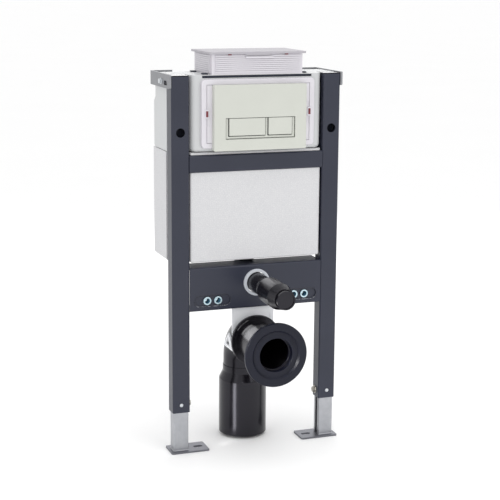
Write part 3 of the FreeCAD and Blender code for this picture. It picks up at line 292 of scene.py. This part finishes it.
def bead_foam():
    finish = Finish("bead_foam")
    beads = {"Vector": finish.place, "Scale": 1 / BEAD_SIZE, "Randomness": 0.9}

    def mosaic(feature, out):
        return finish.node("ShaderNodeTexVoronoi", {"feature": feature}, beads, out)

    crown = finish.ramp(mosaic("DISTANCE_TO_EDGE", "Distance"), [(0.0, 0.0), (0.08, 0.7), (0.3, 1.0)])
    cell_colour = mosaic("F1", "Color")
    tone = finish.node("ShaderNodeSeparateColor", sockets={"Color": cell_colour}, out="Red")
    drift = finish.noise(80 * MM)
    body = finish.blend(0.6 * tone + 0.4 * drift, linear(206, 206, 208), linear(214, 214, 215))
    return finish.surface({
        "Base Color": finish.blend(crown, linear(198, 198, 201), body),
        "Roughness": 0.78 + 0.12 * tone,
        "Normal": finish.bump(crown, 0.10 * MM, 0.4),
    })


finishes["foam"] = bead_foam()

# %% [markdown]
# Pipes are black polyethylene, drawn or moulded with a soft gloss. Handling leaves faint upright
# scuffs that dull the gloss in streaks, which a noise gives when it is stretched along z. The pan
# seal is black rubber: duller, with a fine pebble and a trace of grey bloom.

# %% Black pipe and rubber
UPRIGHT_STREAKS = (240, 240, 70)


def pipe_black():
    finish = Finish("pipe_black")
    scuff = finish.noise(1.0, detail=4.0, place=finish.stretched(UPRIGHT_STREAKS))
    drift = finish.noise(45 * MM)
    return finish.surface({
        "Base Color": finish.blend(drift, linear(9, 8, 12), linear(15, 13, 18)),
        "Roughness": 0.15 + 0.10 * scuff + 0.05 * drift,
        "Normal": finish.bump(scuff, 0.01 * MM),
        "Specular Tint": (0.90, 0.89, 1.0, 1.0),
        "Specular IOR Level": 0.42,
    })


def seal_rubber():
    finish = Finish("seal_rubber")
    pebble = finish.noise(0.9 * MM)
    bloom = finish.noise(22 * MM, detail=3.0)
    return finish.surface({
        "Base Color": finish.blend(bloom, linear(15, 17, 28), linear(22, 24, 38)),
        "Roughness": 0.26 + 0.12 * bloom + 0.06 * pebble,
        "Normal": finish.bump(pebble, 0.015 * MM),
        "Specular IOR Level": 0.25,
    })


finishes["pipe_black"] = pipe_black()
finishes["seal_rubber"] = seal_rubber()

# %% [markdown]
# The record names a material slot for every solid, so one loop dresses the whole frame. On the
# real frame some solids of one slot still look different: sockets and brackets aren't plated like
# the legs. The foot plates get a darker copy of the legs' zinc and the lid a darker copy of the
# box's plastic, both as painted shade. A short table of name endings picks those out, which
# leaves the record's slots as they are.

# %% Every solid in its finish
own_finish = {
    "_pan_socket": socket_zinc,
    "_foot_plate": plate_shade_zinc,
    "_wall_bracket": bracket_zinc,
    "_box_lid": lid_shaded_plastic,
}


def finish_of(subpart):
    for ending, own in own_finish.items():
        if subpart["node"].endswith(ending):
            return own
    return finishes[subpart["material_slot"]]


for subpart in frame["record"]["subparts"]:
    for holder in frame["nodes"][subpart["node"]].material_slots:
        holder.material = finish_of(subpart)
print("finished", len(frame["nodes"]), "solids")

# %% [markdown]
# Screws, washers, threads, welds and small trim come next. Each is shaped in millimetres about
# its own axis, z up, as it would lie on a bench. `piece` then turns it to the side that it faces,
# carries it to its place on the frame and lets it ride on the body that holds it. The frame is
# symmetrical, so places are measured on the right, and a sign mirrors them to the left.

# %% From the bench to the frame
FRONT = Matrix.Rotation(math.radians(90), 4, "X")
LEFT = Matrix.Rotation(math.radians(-90), 4, "Y")
RIGHT = Matrix.Rotation(math.radians(90), 4, "Y")
UP = Matrix.Identity(4)
SIDES = (("left", -1), ("right", 1))
MERGE_WITHIN = 0.01


def piece(name, shape, place, facing, finish, body="frame"):
    """Turn a bench shape into a piece of the object."""
    bmesh.ops.remove_doubles(shape, verts=shape.verts, dist=MERGE_WITHIN)
    bmesh.ops.recalc_face_normals(shape, faces=shape.faces)
    seat = Matrix.Translation(spot(*place)) @ facing @ Matrix.Scale(MM, 4)
    bmesh.ops.transform(shape, matrix=seat, verts=shape.verts)
    mesh = bpy.data.meshes.new(name)
    shape.to_mesh(mesh)
    shape.free()
    mesh.materials.append(finish)
    made = bpy.data.objects.new(name, mesh)
    bpy.context.scene.collection.objects.link(made)
    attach(made, body)
    print("piece", name, "with", len(mesh.polygons), "faces")


# %% [markdown]
# Most small pieces are either turned or moulded as bars with soft edges. `lathe` spins a profile,
# as a lathe would cut it, and `rounded_bar` bevels a box. Ready-made cylinders and cubes would be
# quicker, but their hard edges catch no light.

# %% Turned shapes and rounded bars
FULL_TURN = 2 * math.pi


def everything(shape):
    return shape.verts[:] + shape.edges[:] + shape.faces[:]


def only(kind, parts):
    return [part for part in parts if isinstance(part, kind)]


def cut(shape, point, across):
    """Divide the faces along the plane through a point."""
    bmesh.ops.bisect_plane(shape, geom=everything(shape), plane_co=point, plane_no=across)


def edges_between(shape, points):
    """Edges with both ends among the points."""
    return [edge for edge in shape.edges if set(edge.verts) <= set(points)]


def profile_line(shape, profile):
    """Line through (radius, height) points beside the z axis."""
    points = [shape.verts.new((radius, 0, height)) for radius, height in profile]
    return points + [shape.edges.new(pair) for pair in zip(points, points[1:])]


def lathe(shape, profile, steps=40, smooth=False):
    """Turn a profile round the z axis."""
    bmesh.ops.spin(shape, geom=profile_line(shape, profile), cent=(0, 0, 0), axis=(0, 0, 1),
                   angle=FULL_TURN, steps=steps, use_merge=True)
    for face in shape.faces:
        face.smooth = smooth


def rounded_bar(shape, low, high, edge):
    """Bar between two corners with its edges rounded."""
    low, high = Vector(low), Vector(high)
    stretch = Matrix.Translation((low + high) / 2) @ Matrix.Diagonal((*(high - low), 1))
    corners = bmesh.ops.create_cube(shape, size=1, matrix=stretch)["verts"]
    bmesh.ops.bevel(shape, geom=edges_between(shape, corners), offset=edge, affect="EDGES",
                    segments=3, profile=0.5, material=-1)


print("bench ready")

# %% [markdown]
# A cross-head screw clamps each leg through the upright's front. Its head is a low dome with a
# stamped cross. Eight cuts lay the outline of the cross on the flat of the head, the cells
# inside it are pushed in, and the rim is drawn out and down to the dome's foot. Cutting and
# pushing keeps one clean skin, where a boolean would leave slivers.


# %% Cross-head screws
def cross_head(radius, height):
    shape = bmesh.new()
    flat = 0.78 * radius
    shoulder = 0.94 * radius
    arm = 0.62 * radius
    half_arm = 0.16 * radius
    bmesh.ops.create_circle(shape, cap_ends=True, segments=32, radius=flat)
    for along in (Vector((1, 0, 0)), Vector((0, 1, 0))):
        for reach in (-arm, -half_arm, half_arm, arm):
            cut(shape, along * reach, along)

    def in_cross(face):
        x, y = (abs(v) for v in face.calc_center_median()[:2])
        return min(x, y) < half_arm and max(x, y) < arm

    rim = [edge for edge in shape.edges if edge.is_boundary]
    cross = [face for face in shape.faces if in_cross(face)]
    pushed = bmesh.ops.extrude_face_region(shape, geom=cross)["geom"]
    bmesh.ops.delete(shape, geom=cross, context="FACES")
    bmesh.ops.translate(shape, verts=only(bmesh.types.BMVert, pushed), vec=(0, 0, -0.6 * height))
    for wider, lower in ((shoulder / flat, 0.25 * height), (radius / shoulder, 0.75 * height)):
        drawn = bmesh.ops.extrude_edge_only(shape, edges=rim)["geom"]
        rim = only(bmesh.types.BMEdge, drawn)
        foot = only(bmesh.types.BMVert, drawn)
        bmesh.ops.scale(shape, vec=(wider, wider, 1), verts=foot)
        bmesh.ops.translate(shape, verts=foot, vec=(0, 0, -lower))
    bmesh.ops.translate(shape, verts=shape.verts, vec=(0, 0, height))
    return shape


SCREW_REACH = 175.5
SCREW_HEIGHT = 111
screw_zinc = zinc("screw_zinc", linear(198, 202, 206), linear(228, 231, 234), 0.22, EVEN_GRAIN)
upright = measure("right_upright")
for side, sign in SIDES:
    piece(f"{side}_clamp_screw", cross_head(radius=4.2, height=2.2),
          (sign * SCREW_REACH, upright.low.y, SCREW_HEIGHT), FRONT, screw_zinc)

# %% [markdown]
# On the inner side of each upright a hexagon bolt with a broad washer bears on the leg, and a
# smaller one holds each wall bracket at its setting slot. The washer is turned with a rolled edge.
# The head is a six-sided disc, extruded and chamfered, because a real one is forged that way.

# %% Hexagon bolts and washers
WASHER_THICKNESS = 1.6
WASHER_EDGE = 0.4
HEAD_CHAMFER = 0.7


def hexagon_bolt(washer, across, height):
    """Washer of that radius under a head that is so wide across its flats."""
    shape = bmesh.new()
    lathe(shape, [(0, 0), (washer, 0), (washer, WASHER_THICKNESS - WASHER_EDGE),
                  (washer - WASHER_EDGE, WASHER_THICKNESS), (0, WASHER_THICKNESS)])
    on_washer = Matrix.Translation((0, 0, WASHER_THICKNESS))
    hexagon = bmesh.ops.create_circle(shape, cap_ends=True, segments=6, radius=across / math.sqrt(3),
                                      matrix=on_washer)["verts"]
    top = [face for face in hexagon[0].link_faces if set(face.verts) == set(hexagon)]
    crown = only(bmesh.types.BMVert, bmesh.ops.extrude_face_region(shape, geom=top)["geom"])
    bmesh.ops.translate(shape, verts=crown, vec=(0, 0, height))
    bmesh.ops.bevel(shape, geom=edges_between(shape, crown), offset=HEAD_CHAMFER, affect="EDGES",
                    segments=2, profile=0.5, material=-1)
    return shape


CLAMP_BOLT_DEPTH = 22
CLAMP_BOLT_HEIGHT = 109
BRACKET_BOLT_DEPTH = 60
BRACKET_BOLT_HEIGHT = 827
bolt_zinc = zinc("bolt_zinc", linear(150, 146, 138), linear(196, 193, 186), 0.28, EVEN_GRAIN)
bracket = measure("right_wall_bracket")
for side, sign in SIDES:
    inward, outward = (RIGHT, LEFT) if sign < 0 else (LEFT, RIGHT)
    piece(f"{side}_clamp_bolt", hexagon_bolt(washer=9.5, across=12, height=5),
          (sign * upright.low.x, CLAMP_BOLT_DEPTH, CLAMP_BOLT_HEIGHT), inward, bolt_zinc)
    piece(f"{side}_bracket_bolt", hexagon_bolt(washer=6.6, across=10, height=4),
          (sign * bracket.high.x, BRACKET_BOLT_DEPTH, BRACKET_BOLT_HEIGHT), outward, screw_zinc)

# %% [markdown]
# The pan bolts screw into the four zinc sockets, which stand 180 mm and 230 mm apart as wall hung
# pans need them. A thread is a triangle swept along a helix: spinning a small profile with a step
# along the axis does exactly that, as a tap does.

# %% Threads in the pan sockets
BOLT_SPACINGS = (("inner", 180), ("outer", 230))
BORE_RADIUS = 6.0
FOOT_PLAY = 0.02
RIDGE_RISE = 0.95
RIDGE_HALF_WIDTH = 0.7
FIRST_RIDGE = -1.2
THREAD_PITCH = 1.75
THREAD_TURNS = 10
STEPS_A_TURN = 28


def inner_thread():
    shape = bmesh.new()
    foot = BORE_RADIUS - FOOT_PLAY
    crest = BORE_RADIUS - RIDGE_RISE
    ridge = [(foot, FIRST_RIDGE - RIDGE_HALF_WIDTH), (crest, FIRST_RIDGE),
             (foot, FIRST_RIDGE + RIDGE_HALF_WIDTH)]
    bmesh.ops.spin(shape, geom=profile_line(shape, ridge), cent=(0, 0, 0), axis=(0, 0, 1),
                   dvec=(0, 0, -THREAD_PITCH / STEPS_A_TURN), angle=FULL_TURN * THREAD_TURNS,
                   steps=STEPS_A_TURN * THREAD_TURNS)
    return shape


# Painted shade: the threads take a darker copy of the sockets' bluish zinc for the shade inside the bores.
bore_shade_zinc = zinc("bore_shade_zinc", linear(30, 62, 84), linear(70, 112, 134), 0.25, EVEN_GRAIN)
socket_face = measure("right_inner_pan_socket").low.y
bolt_strip = measure("right_pan_bolt_strip")
for side, sign in SIDES:
    for name, spacing in BOLT_SPACINGS:
        piece(f"{side}_{name}_thread", inner_thread(),
              (sign * spacing / 2, socket_face, bolt_strip.middle.z), FRONT, bore_shade_zinc)

# %% [markdown]
# The two long slots in the lower bar are pressed with a small raised lip, which catches light
# along its lower edge. That light is painted too: a lighter metal grey shows in patches, where a
# noise is cut to blots, and a ramp over the height keeps them below the slot's middle line.

# %% Painted highlight on the slot lips
LIP_RADIUS = 14.0


def lip_highlight_coat(middle_line):
    finish = Finish("lip_highlight_coat")
    height = finish.node("ShaderNodeSeparateXYZ", sockets={"Vector": finish.place}, out="Z")
    depth = (middle_line - height) * (1 / (LIP_RADIUS * MM))
    below = finish.ramp(depth, [(0.45, 0.0), (0.85, 1.0)])
    blots = finish.ramp(finish.noise(5 * MM, detail=3.0), [(0.43, 0.0), (0.58, 1.0)])
    # Painted highlight: light metal grey in blots on the lip below the slot's middle line.
    highlight_mask = below * blots
    return finish.surface({
        "Base Color": finish.blend(highlight_mask, linear(36, 39, 52), linear(124, 126, 134)),
        "Roughness": 0.40 - 0.08 * highlight_mask,
    })


highlighted_lip = lip_highlight_coat(spot(*bolt_strip.middle).z)

# %% [markdown]
# The lip itself could be a bent tube, but pressed steel runs from the face over a low crest into
# the slot. Loops of the slot's outline, one for each point of that section, are bridged to a skin.

# %% Lips round the bar's slots
SLOT_STRAIGHT = 59
LOOP_POINTS = 38
LIP_SECTION = ((LIP_RADIUS, 0.0), (13.5, 0.7), (12.7, 0.9), (12.0, 0.6), (11.9, -2.4))


def slot_loop(shape, radius, height):
    """Loop with two round ends and two straight sides."""
    points = bmesh.ops.create_circle(shape, segments=LOOP_POINTS, radius=radius,
                                     matrix=Matrix.Translation((0, 0, height)))["verts"]
    for point in points:
        point.co.x += math.copysign(SLOT_STRAIGHT / 2, point.co.x)
    return edges_between(shape, points)


def slot_lip():
    shape = bmesh.new()
    loops = [slot_loop(shape, radius, height) for radius, height in LIP_SECTION]
    for lower, upper in zip(loops, loops[1:]):
        bmesh.ops.bridge_loops(shape, edges=lower + upper)
    return shape


for side, sign in SIDES:
    piece(f"{side}_slot_lip", slot_lip(), (sign * bolt_strip.middle.x, upright.low.y, bolt_strip.middle.z),
          FRONT, highlighted_lip)

# %% [markdown]
# Legs are welded to their foot plates. A weld bead shows the overlapping ripples of the pool, so
# the bead is a round section carried along the joint in short steps, each second ring a little
# thinner. A bump in the finish would be lighter, but it would leave the bead's outline straight.

# %% Weld beads at the feet
WELD_RADIUS = 2.0
RIPPLE_LENGTH = 1.1
RIPPLE_DEPTH = 0.16
END_TAPER = 0.55


def weld_bead(length):
    """Bead along x, centred."""
    shape = bmesh.new()
    steps = int(length / RIPPLE_LENGTH)
    bmesh.ops.create_circle(shape, cap_ends=True, segments=10, radius=WELD_RADIUS,
                            matrix=Matrix.Translation((-length / 2, 0, 0)) @ RIGHT)
    bmesh.ops.spin(shape, geom=everything(shape), cent=(0, 0, 0), axis=(1, 0, 0),
                   dvec=(length / steps, 0, 0), angle=0, steps=steps)
    for point in shape.verts:
        step = round((point.co.x + length / 2) / length * steps)
        thin = END_TAPER if step in (0, steps) else 1 - RIPPLE_DEPTH * (step % 2)
        point.co.y *= thin
        point.co.z *= thin
    return shape


ALONG_Y = Matrix.Rotation(math.radians(90), 4, "Z")
leg = measure("right_foot_leg")
leg_size = leg.high - leg.low
for side, sign in SIDES:
    for name, length, x, y, facing in (
        ("front", leg_size.x, leg.middle.x, leg.low.y, UP),
        ("rear", leg_size.x, leg.middle.x, leg.high.y, UP),
        ("outer", leg_size.y, leg.high.x, leg.middle.y, ALONG_Y),
    ):
        piece(f"{side}_{name}_weld", weld_bead(length), (sign * x, y, leg.low.z), facing,
              finishes["zinc"], f"{side}_foot")

# %% [markdown]
# A dark strip lies in the slit under the cistern's top edge, painted shade for the shadow deep in
# the slit, and rubber plugs close the four hook slots in the top. A plug is a stem with a wider
# head. Bars with rounded edges make all of them.

# %% Painted shade strip and plugs of the cistern
PLUG_REACH = 114
PLUG_DEPTHS = (("front", 22), ("rear", 104))
# Dark rubber for the plugs, and the same dark as painted shade for the slit strip and the button backing.
rubber_and_shade = moulded("rubber_and_shade", linear(20, 26, 44), linear(28, 34, 52), 0.45)
tank = measure("cistern_tank")

# Painted shade: a dark strip stands in for the shadow deep in the slit.
shade_bar = bmesh.new()
rounded_bar(shade_bar, (-125.5, 1.2, -6.2), (125.5, 7.6, -1.6), 1.6)
piece("slit_shade_strip", shade_bar, (0, tank.low.y, tank.high.z), UP, rubber_and_shade)

for side, sign in SIDES:
    for name, depth in PLUG_DEPTHS:
        plug = bmesh.new()
        rounded_bar(plug, (-4.5, -5.5, -8), (4.5, 5.5, 1), 0.5)
        rounded_bar(plug, (-6, -6.8, -0.3), (6, 6.8, 3), 1.0)
        piece(f"{side}_{name}_plug", plug, (sign * PLUG_REACH, depth, tank.high.z), UP,
              rubber_and_shade)

# %% [markdown]
# Each latch beside the flush plate has a dark red tongue with three grip ridges, and two small
# noses of the same red hold the box's lid. All are rounded bars, and each ridge is a bar of its
# own, because a bump in the finish would not stand out when seen from the side.

# %% Latch tongues and lid noses
LATCH_REACH = 118
LATCH_HEIGHT = 759.5
RIDGE_STEP = 3.6
NOSE_REACH = 65
clip_red = moulded("clip_red", linear(112, 44, 52), linear(128, 54, 62), 0.38)
bezel_face = measure("access_bezel").low.y
access_box = measure("access_box")
for side, sign in SIDES:
    tongue = bmesh.new()
    rounded_bar(tongue, (-2.6, -6.5, -1), (2.6, 6.5, 0.6), 0.5)
    for ridge in (-RIDGE_STEP, 0, RIDGE_STEP):
        rounded_bar(tongue, (-2.2, ridge - 0.8, 0.2), (2.2, ridge + 0.8, 1.3), 0.3)
    piece(f"{side}_latch_tongue", tongue, (sign * LATCH_REACH, bezel_face, LATCH_HEIGHT), FRONT,
          clip_red)
    nose = bmesh.new()
    rounded_bar(nose, (-3.6, -3.9, -2.4), (3.6, 0.1, 0), 0.6)
    piece(f"{side}_lid_nose", nose, (sign * NOSE_REACH, access_box.low.y, access_box.high.z), UP,
          clip_red)

# %% [markdown]
# A flat tab under the front edge of the box's lid gives the fingers a hold. It is moulded in the
# box's plastic and stands a little proud of the ribs. One rounded bar is its true form.

# %% Tab under the lid
lid = measure("access_box_lid")
tab = bmesh.new()
rounded_bar(tab, (-29, 0.2, -3.6), (34, 4.0, 0.4), 0.6)
piece("lid_tab", tab, (0, lid.low.y, lid.low.z), UP, finishes["bezel_plastic"])

# %% [markdown]
# A black plastic cap closes the top of each upright. Its stem plugs into the tube and its flat head
# covers the cut edge, so that two bars in one piece are its true form. Both take their width from
# the upright's.

# %% Caps of the uprights
STEM_INSET = 3.0
HEAD_INSET = 0.6
half_size = (upright.high - upright.low) / 2


def cap_bar(shape, inset, foot, top, edge):
    """Bar that keeps inside the upright's outline."""
    x, y = half_size.x - inset, half_size.y - inset
    rounded_bar(shape, (-x, -y, foot), (x, y, top), edge)


for side, sign in SIDES:
    cap = bmesh.new()
    cap_bar(cap, STEM_INSET, foot=-14, top=0.2, edge=1.0)
    cap_bar(cap, HEAD_INSET, foot=0, top=2, edge=0.7)
    piece(f"{side}_upright_cap", cap, (sign * upright.middle.x, upright.middle.y, upright.high.z), UP,
          finishes["pipe_black"])

# %% [markdown]
# The seal holds the pan's outlet with soft lips. The front lip rises from the foot of the dish to the
# mouth, and a bead lies on the step deep in the bore. Both are turned as thin skins that lie on the
# solid seal, and they are shaded smooth because rubber has no facets.

# %% Lips of the pan seal
SEAL_STEPS = 96
LIP_PROFILE = (
    (51.3, -4.1), (49.8, -3.7), (46.0, -2.7), (42.0, -1.8), (39.7, -1.3),
    (38.4, -1.6), (37.5, -2.6), (37.3, -5.0), (37.6, -7.0),
)
BEAD_PROFILE = ((37.6, -15.4), (36.6, -15.2), (35.7, -15.5), (35.2, -16.2), (35.1, -17.1))
seal = measure("pan_seal")
for name, profile, slot in (
    ("seal_front_lip", LIP_PROFILE, "seal_rubber"),
    ("seal_bead", BEAD_PROFILE, "pipe_black"),
):
    skin = bmesh.new()
    lathe(skin, profile, SEAL_STEPS, smooth=True)
    piece(name, skin, (0, seal.low.y, seal.middle.z), FRONT, finishes[slot])

# %% [markdown]
# In the plate's recess lies a moulded frame that leaves only a narrow gap round each button,
# seen as a dark line. It is a sheet cut along the buttons' edges, with the cells of the buttons
# taken out, then given its thickness. A dark sheet behind it is painted shade that keeps the gap dark.

# %% Frame round the buttons
BUTTON_PLAY = 2.0
RECESS_PLAY = 1.3
RECESS_BESIDE = 7.7
RECESS_BELOW = 7.5
RECESS_ABOVE = 0.9
full_button = measure("full_flush_button")
half_button = measure("half_flush_button")
button_foot = full_button.low.z
recess_low = Vector((full_button.low.x - RECESS_BESIDE, button_foot - RECESS_BELOW, 0))
recess_high = Vector((half_button.high.x + RECESS_BESIDE, full_button.high.z + RECESS_ABOVE, 0))


def under_button(face):
    x, y = face.calc_center_median()[:2]
    beside = any(button.low.x < x < button.high.x for button in (full_button, half_button))
    return beside and y > button_foot


sheet = bmesh.new()
sheet_middle = Matrix.Translation((recess_low + recess_high) / 2)
sheet_width, sheet_height = [v - 2 * RECESS_PLAY for v in (recess_high - recess_low)[:2]]
bmesh.ops.create_grid(sheet, x_segments=1, y_segments=1, size=0.5,
                      matrix=sheet_middle @ Matrix.Diagonal((sheet_width, sheet_height, 1, 1)))
for button in (full_button, half_button):
    cut(sheet, (button.low.x - BUTTON_PLAY, 0, 0), (1, 0, 0))
    cut(sheet, (button.high.x + BUTTON_PLAY, 0, 0), (1, 0, 0))
cut(sheet, (0, button_foot - BUTTON_PLAY, 0), (0, 1, 0))
bmesh.ops.delete(sheet, geom=[face for face in sheet.faces if under_button(face)], context="FACES")
print("sheet with", len(sheet.faces), "cells round the buttons")

# %% [markdown]
# The sheet gets its thickness and goes into the recess, a little behind the plate's face. The
# dark sheet of painted shade is a thin bar as large as the recess, at its floor.

# %% Button frame and its painted shade backing
FRAME_THICKNESS = 4.1
FRAME_SINK = 2.5
SHADE_BACKING_THICKNESS = 0.3
SHADE_BACKING_SINK = 7.0
plate_face = measure("flush_plate").low.y
bmesh.ops.solidify(sheet, geom=sheet.faces[:], thickness=FRAME_THICKNESS)
piece("button_frame", sheet, (0, plate_face + FRAME_SINK, 0), FRONT,
      finishes["plate_finish"])
# Painted shade: a dark sheet at the recess floor keeps the gaps round the buttons dark.
shade_backing = bmesh.new()
rounded_bar(shade_backing, recess_low, recess_high + Vector((0, 0, SHADE_BACKING_THICKNESS)), 0.1)
piece("button_shade_backing", shade_backing, (0, plate_face + SHADE_BACKING_SINK, 0), FRONT, rubber_and_shade)

# %% [markdown]
# The studio is a wide pale floor under a white sky, as for a catalogue picture. The floor reaches
# so far that its edge is lost in the sky, and a faint drift of tone keeps it from looking painted.

# %% Floor and sky
FLOOR_RADIUS = 80.0


def pale_floor():
    mesh = bpy.data.meshes.new("studio_floor")
    disc = bmesh.new()
    bmesh.ops.create_circle(disc, cap_ends=True, segments=64, radius=FLOOR_RADIUS)
    bmesh.ops.translate(disc, verts=disc.verts, vec=datum)
    disc.to_mesh(mesh)
    disc.free()
    finish = Finish("studio_floor")
    drift = finish.noise(0.8)
    mesh.materials.append(finish.surface({
        "Base Color": finish.blend(drift, linear(253, 253, 253), linear(255, 255, 255)),
        "Roughness": 0.9 + 0.05 * drift,
        "Specular IOR Level": 0.1,
    }))
    floor = bpy.data.objects.new("studio_floor", mesh)
    bpy.context.scene.collection.objects.link(floor)


def white_sky(strength):
    world = bpy.data.worlds.new("white_sky")
    world.use_nodes = True
    sky = world.node_tree.nodes["Background"]
    sky.inputs["Color"].default_value = (1.0, 1.0, 1.0, 1.0)
    sky.inputs["Strength"].default_value = strength
    bpy.context.scene.world = world


pale_floor()
white_sky(1.0)
bpy.context.scene.view_settings.view_transform = "Standard"

# %% [markdown]
# Soft lights stand on the left, in front, above and behind, and one brightens the floor that the
# dark steel mirrors. Black plastic and rubber show their form only by what they mirror, so a small
# bright card is held to each pipe and one to the seal. Area lights give soft edges with little noise.


# %% Lights
def soft_light(name, place, target, width, height, watts, spread=180):
    """Area light, width and height in metres, that looks from its place to its target."""
    lamp = bpy.data.lights.new(name, "AREA")
    lamp.shape = "RECTANGLE"
    lamp.size = width
    lamp.size_y = height
    lamp.energy = watts
    lamp.spread = math.radians(spread)
    stand = bpy.data.objects.new(name, lamp)
    stand.location = place
    stand.rotation_mode = "QUATERNION"
    stand.rotation_quaternion = (target - place).to_track_quat("-Z", "Y")
    stand.visible_camera = False
    bpy.context.scene.collection.objects.link(stand)
    print("light", name, "of", watts, "watts")


heart = spot(0, 0, 430)
soft_light("left_light", spot(-1900, -1300, 900), heart, 0.5, 1.7, 1.5)
soft_light("front_light", spot(-850, -2900, 1450), heart, 0.6, 0.5, 5.0)
soft_light("floor_light", spot(350, -1250, 900), spot(350, -1250, 0), 0.8, 0.8, 3.4)
soft_light("top_light", spot(0, -300, 2600), heart, 1.6, 1.2, 6)
soft_light("rear_light", spot(900, 2600, 1200), spot(0, -60, 300), 2.6, 1.0, 12)
soft_light("outlet_card", spot(-84, 14, 62), spot(-34, 45, 62), 0.02, 0.12, 0.014, 70)
soft_light("flush_card", spot(-12, -12, 447), spot(-14, -100, 400), 0.06, 0.03, 0.0016, 90)
soft_light("connector_card", spot(-52, -10, 293), spot(-36, -60, 274), 0.08, 0.05, 0.009, 90)
soft_light("seal_card", spot(-500, -370, 400), spot(20, -131, 232), 0.20, 0.14, 0.065, 20)

# %% [markdown]
# The camera stands a little above the frame and to its left, about three metres away, with a
# long lens, as a product photographer would stand to keep the uprights parallel. Its place and
# turn were fitted to known sizes on the frame, such as the pan bolts and the outlet.

# %% Camera
CAMERA_PLACE = (-994.4, -2713.5, 1051.45)
CAMERA_TURN = math.radians(19.84)
CAMERA_DIP = math.radians(11.69)
CAMERA_ROLL = math.radians(0.37)
SENSOR_WIDTH = 36.0
LENS = 95.625
ahead = Vector((
    math.sin(CAMERA_TURN) * math.cos(CAMERA_DIP),
    math.cos(CAMERA_TURN) * math.cos(CAMERA_DIP),
    -math.sin(CAMERA_DIP),
))
level = Vector((math.cos(CAMERA_TURN), -math.sin(CAMERA_TURN), 0))
plumb = level.cross(ahead)
sideways = level * math.cos(CAMERA_ROLL) + plumb * math.sin(CAMERA_ROLL)
upward = plumb * math.cos(CAMERA_ROLL) - level * math.sin(CAMERA_ROLL)
optics = bpy.data.cameras.new("studio_camera")
optics.sensor_width = SENSOR_WIDTH
optics.lens = LENS
camera = bpy.data.objects.new("studio_camera", optics)
turn = Matrix((sideways, upward, -ahead)).transposed().to_4x4()
camera.matrix_world = Matrix.Translation(spot(*CAMERA_PLACE)) @ turn
bpy.context.scene.collection.objects.link(camera)
bpy.context.scene.camera = camera
print("camera at", [round(v, 3) for v in camera.matrix_world.translation])
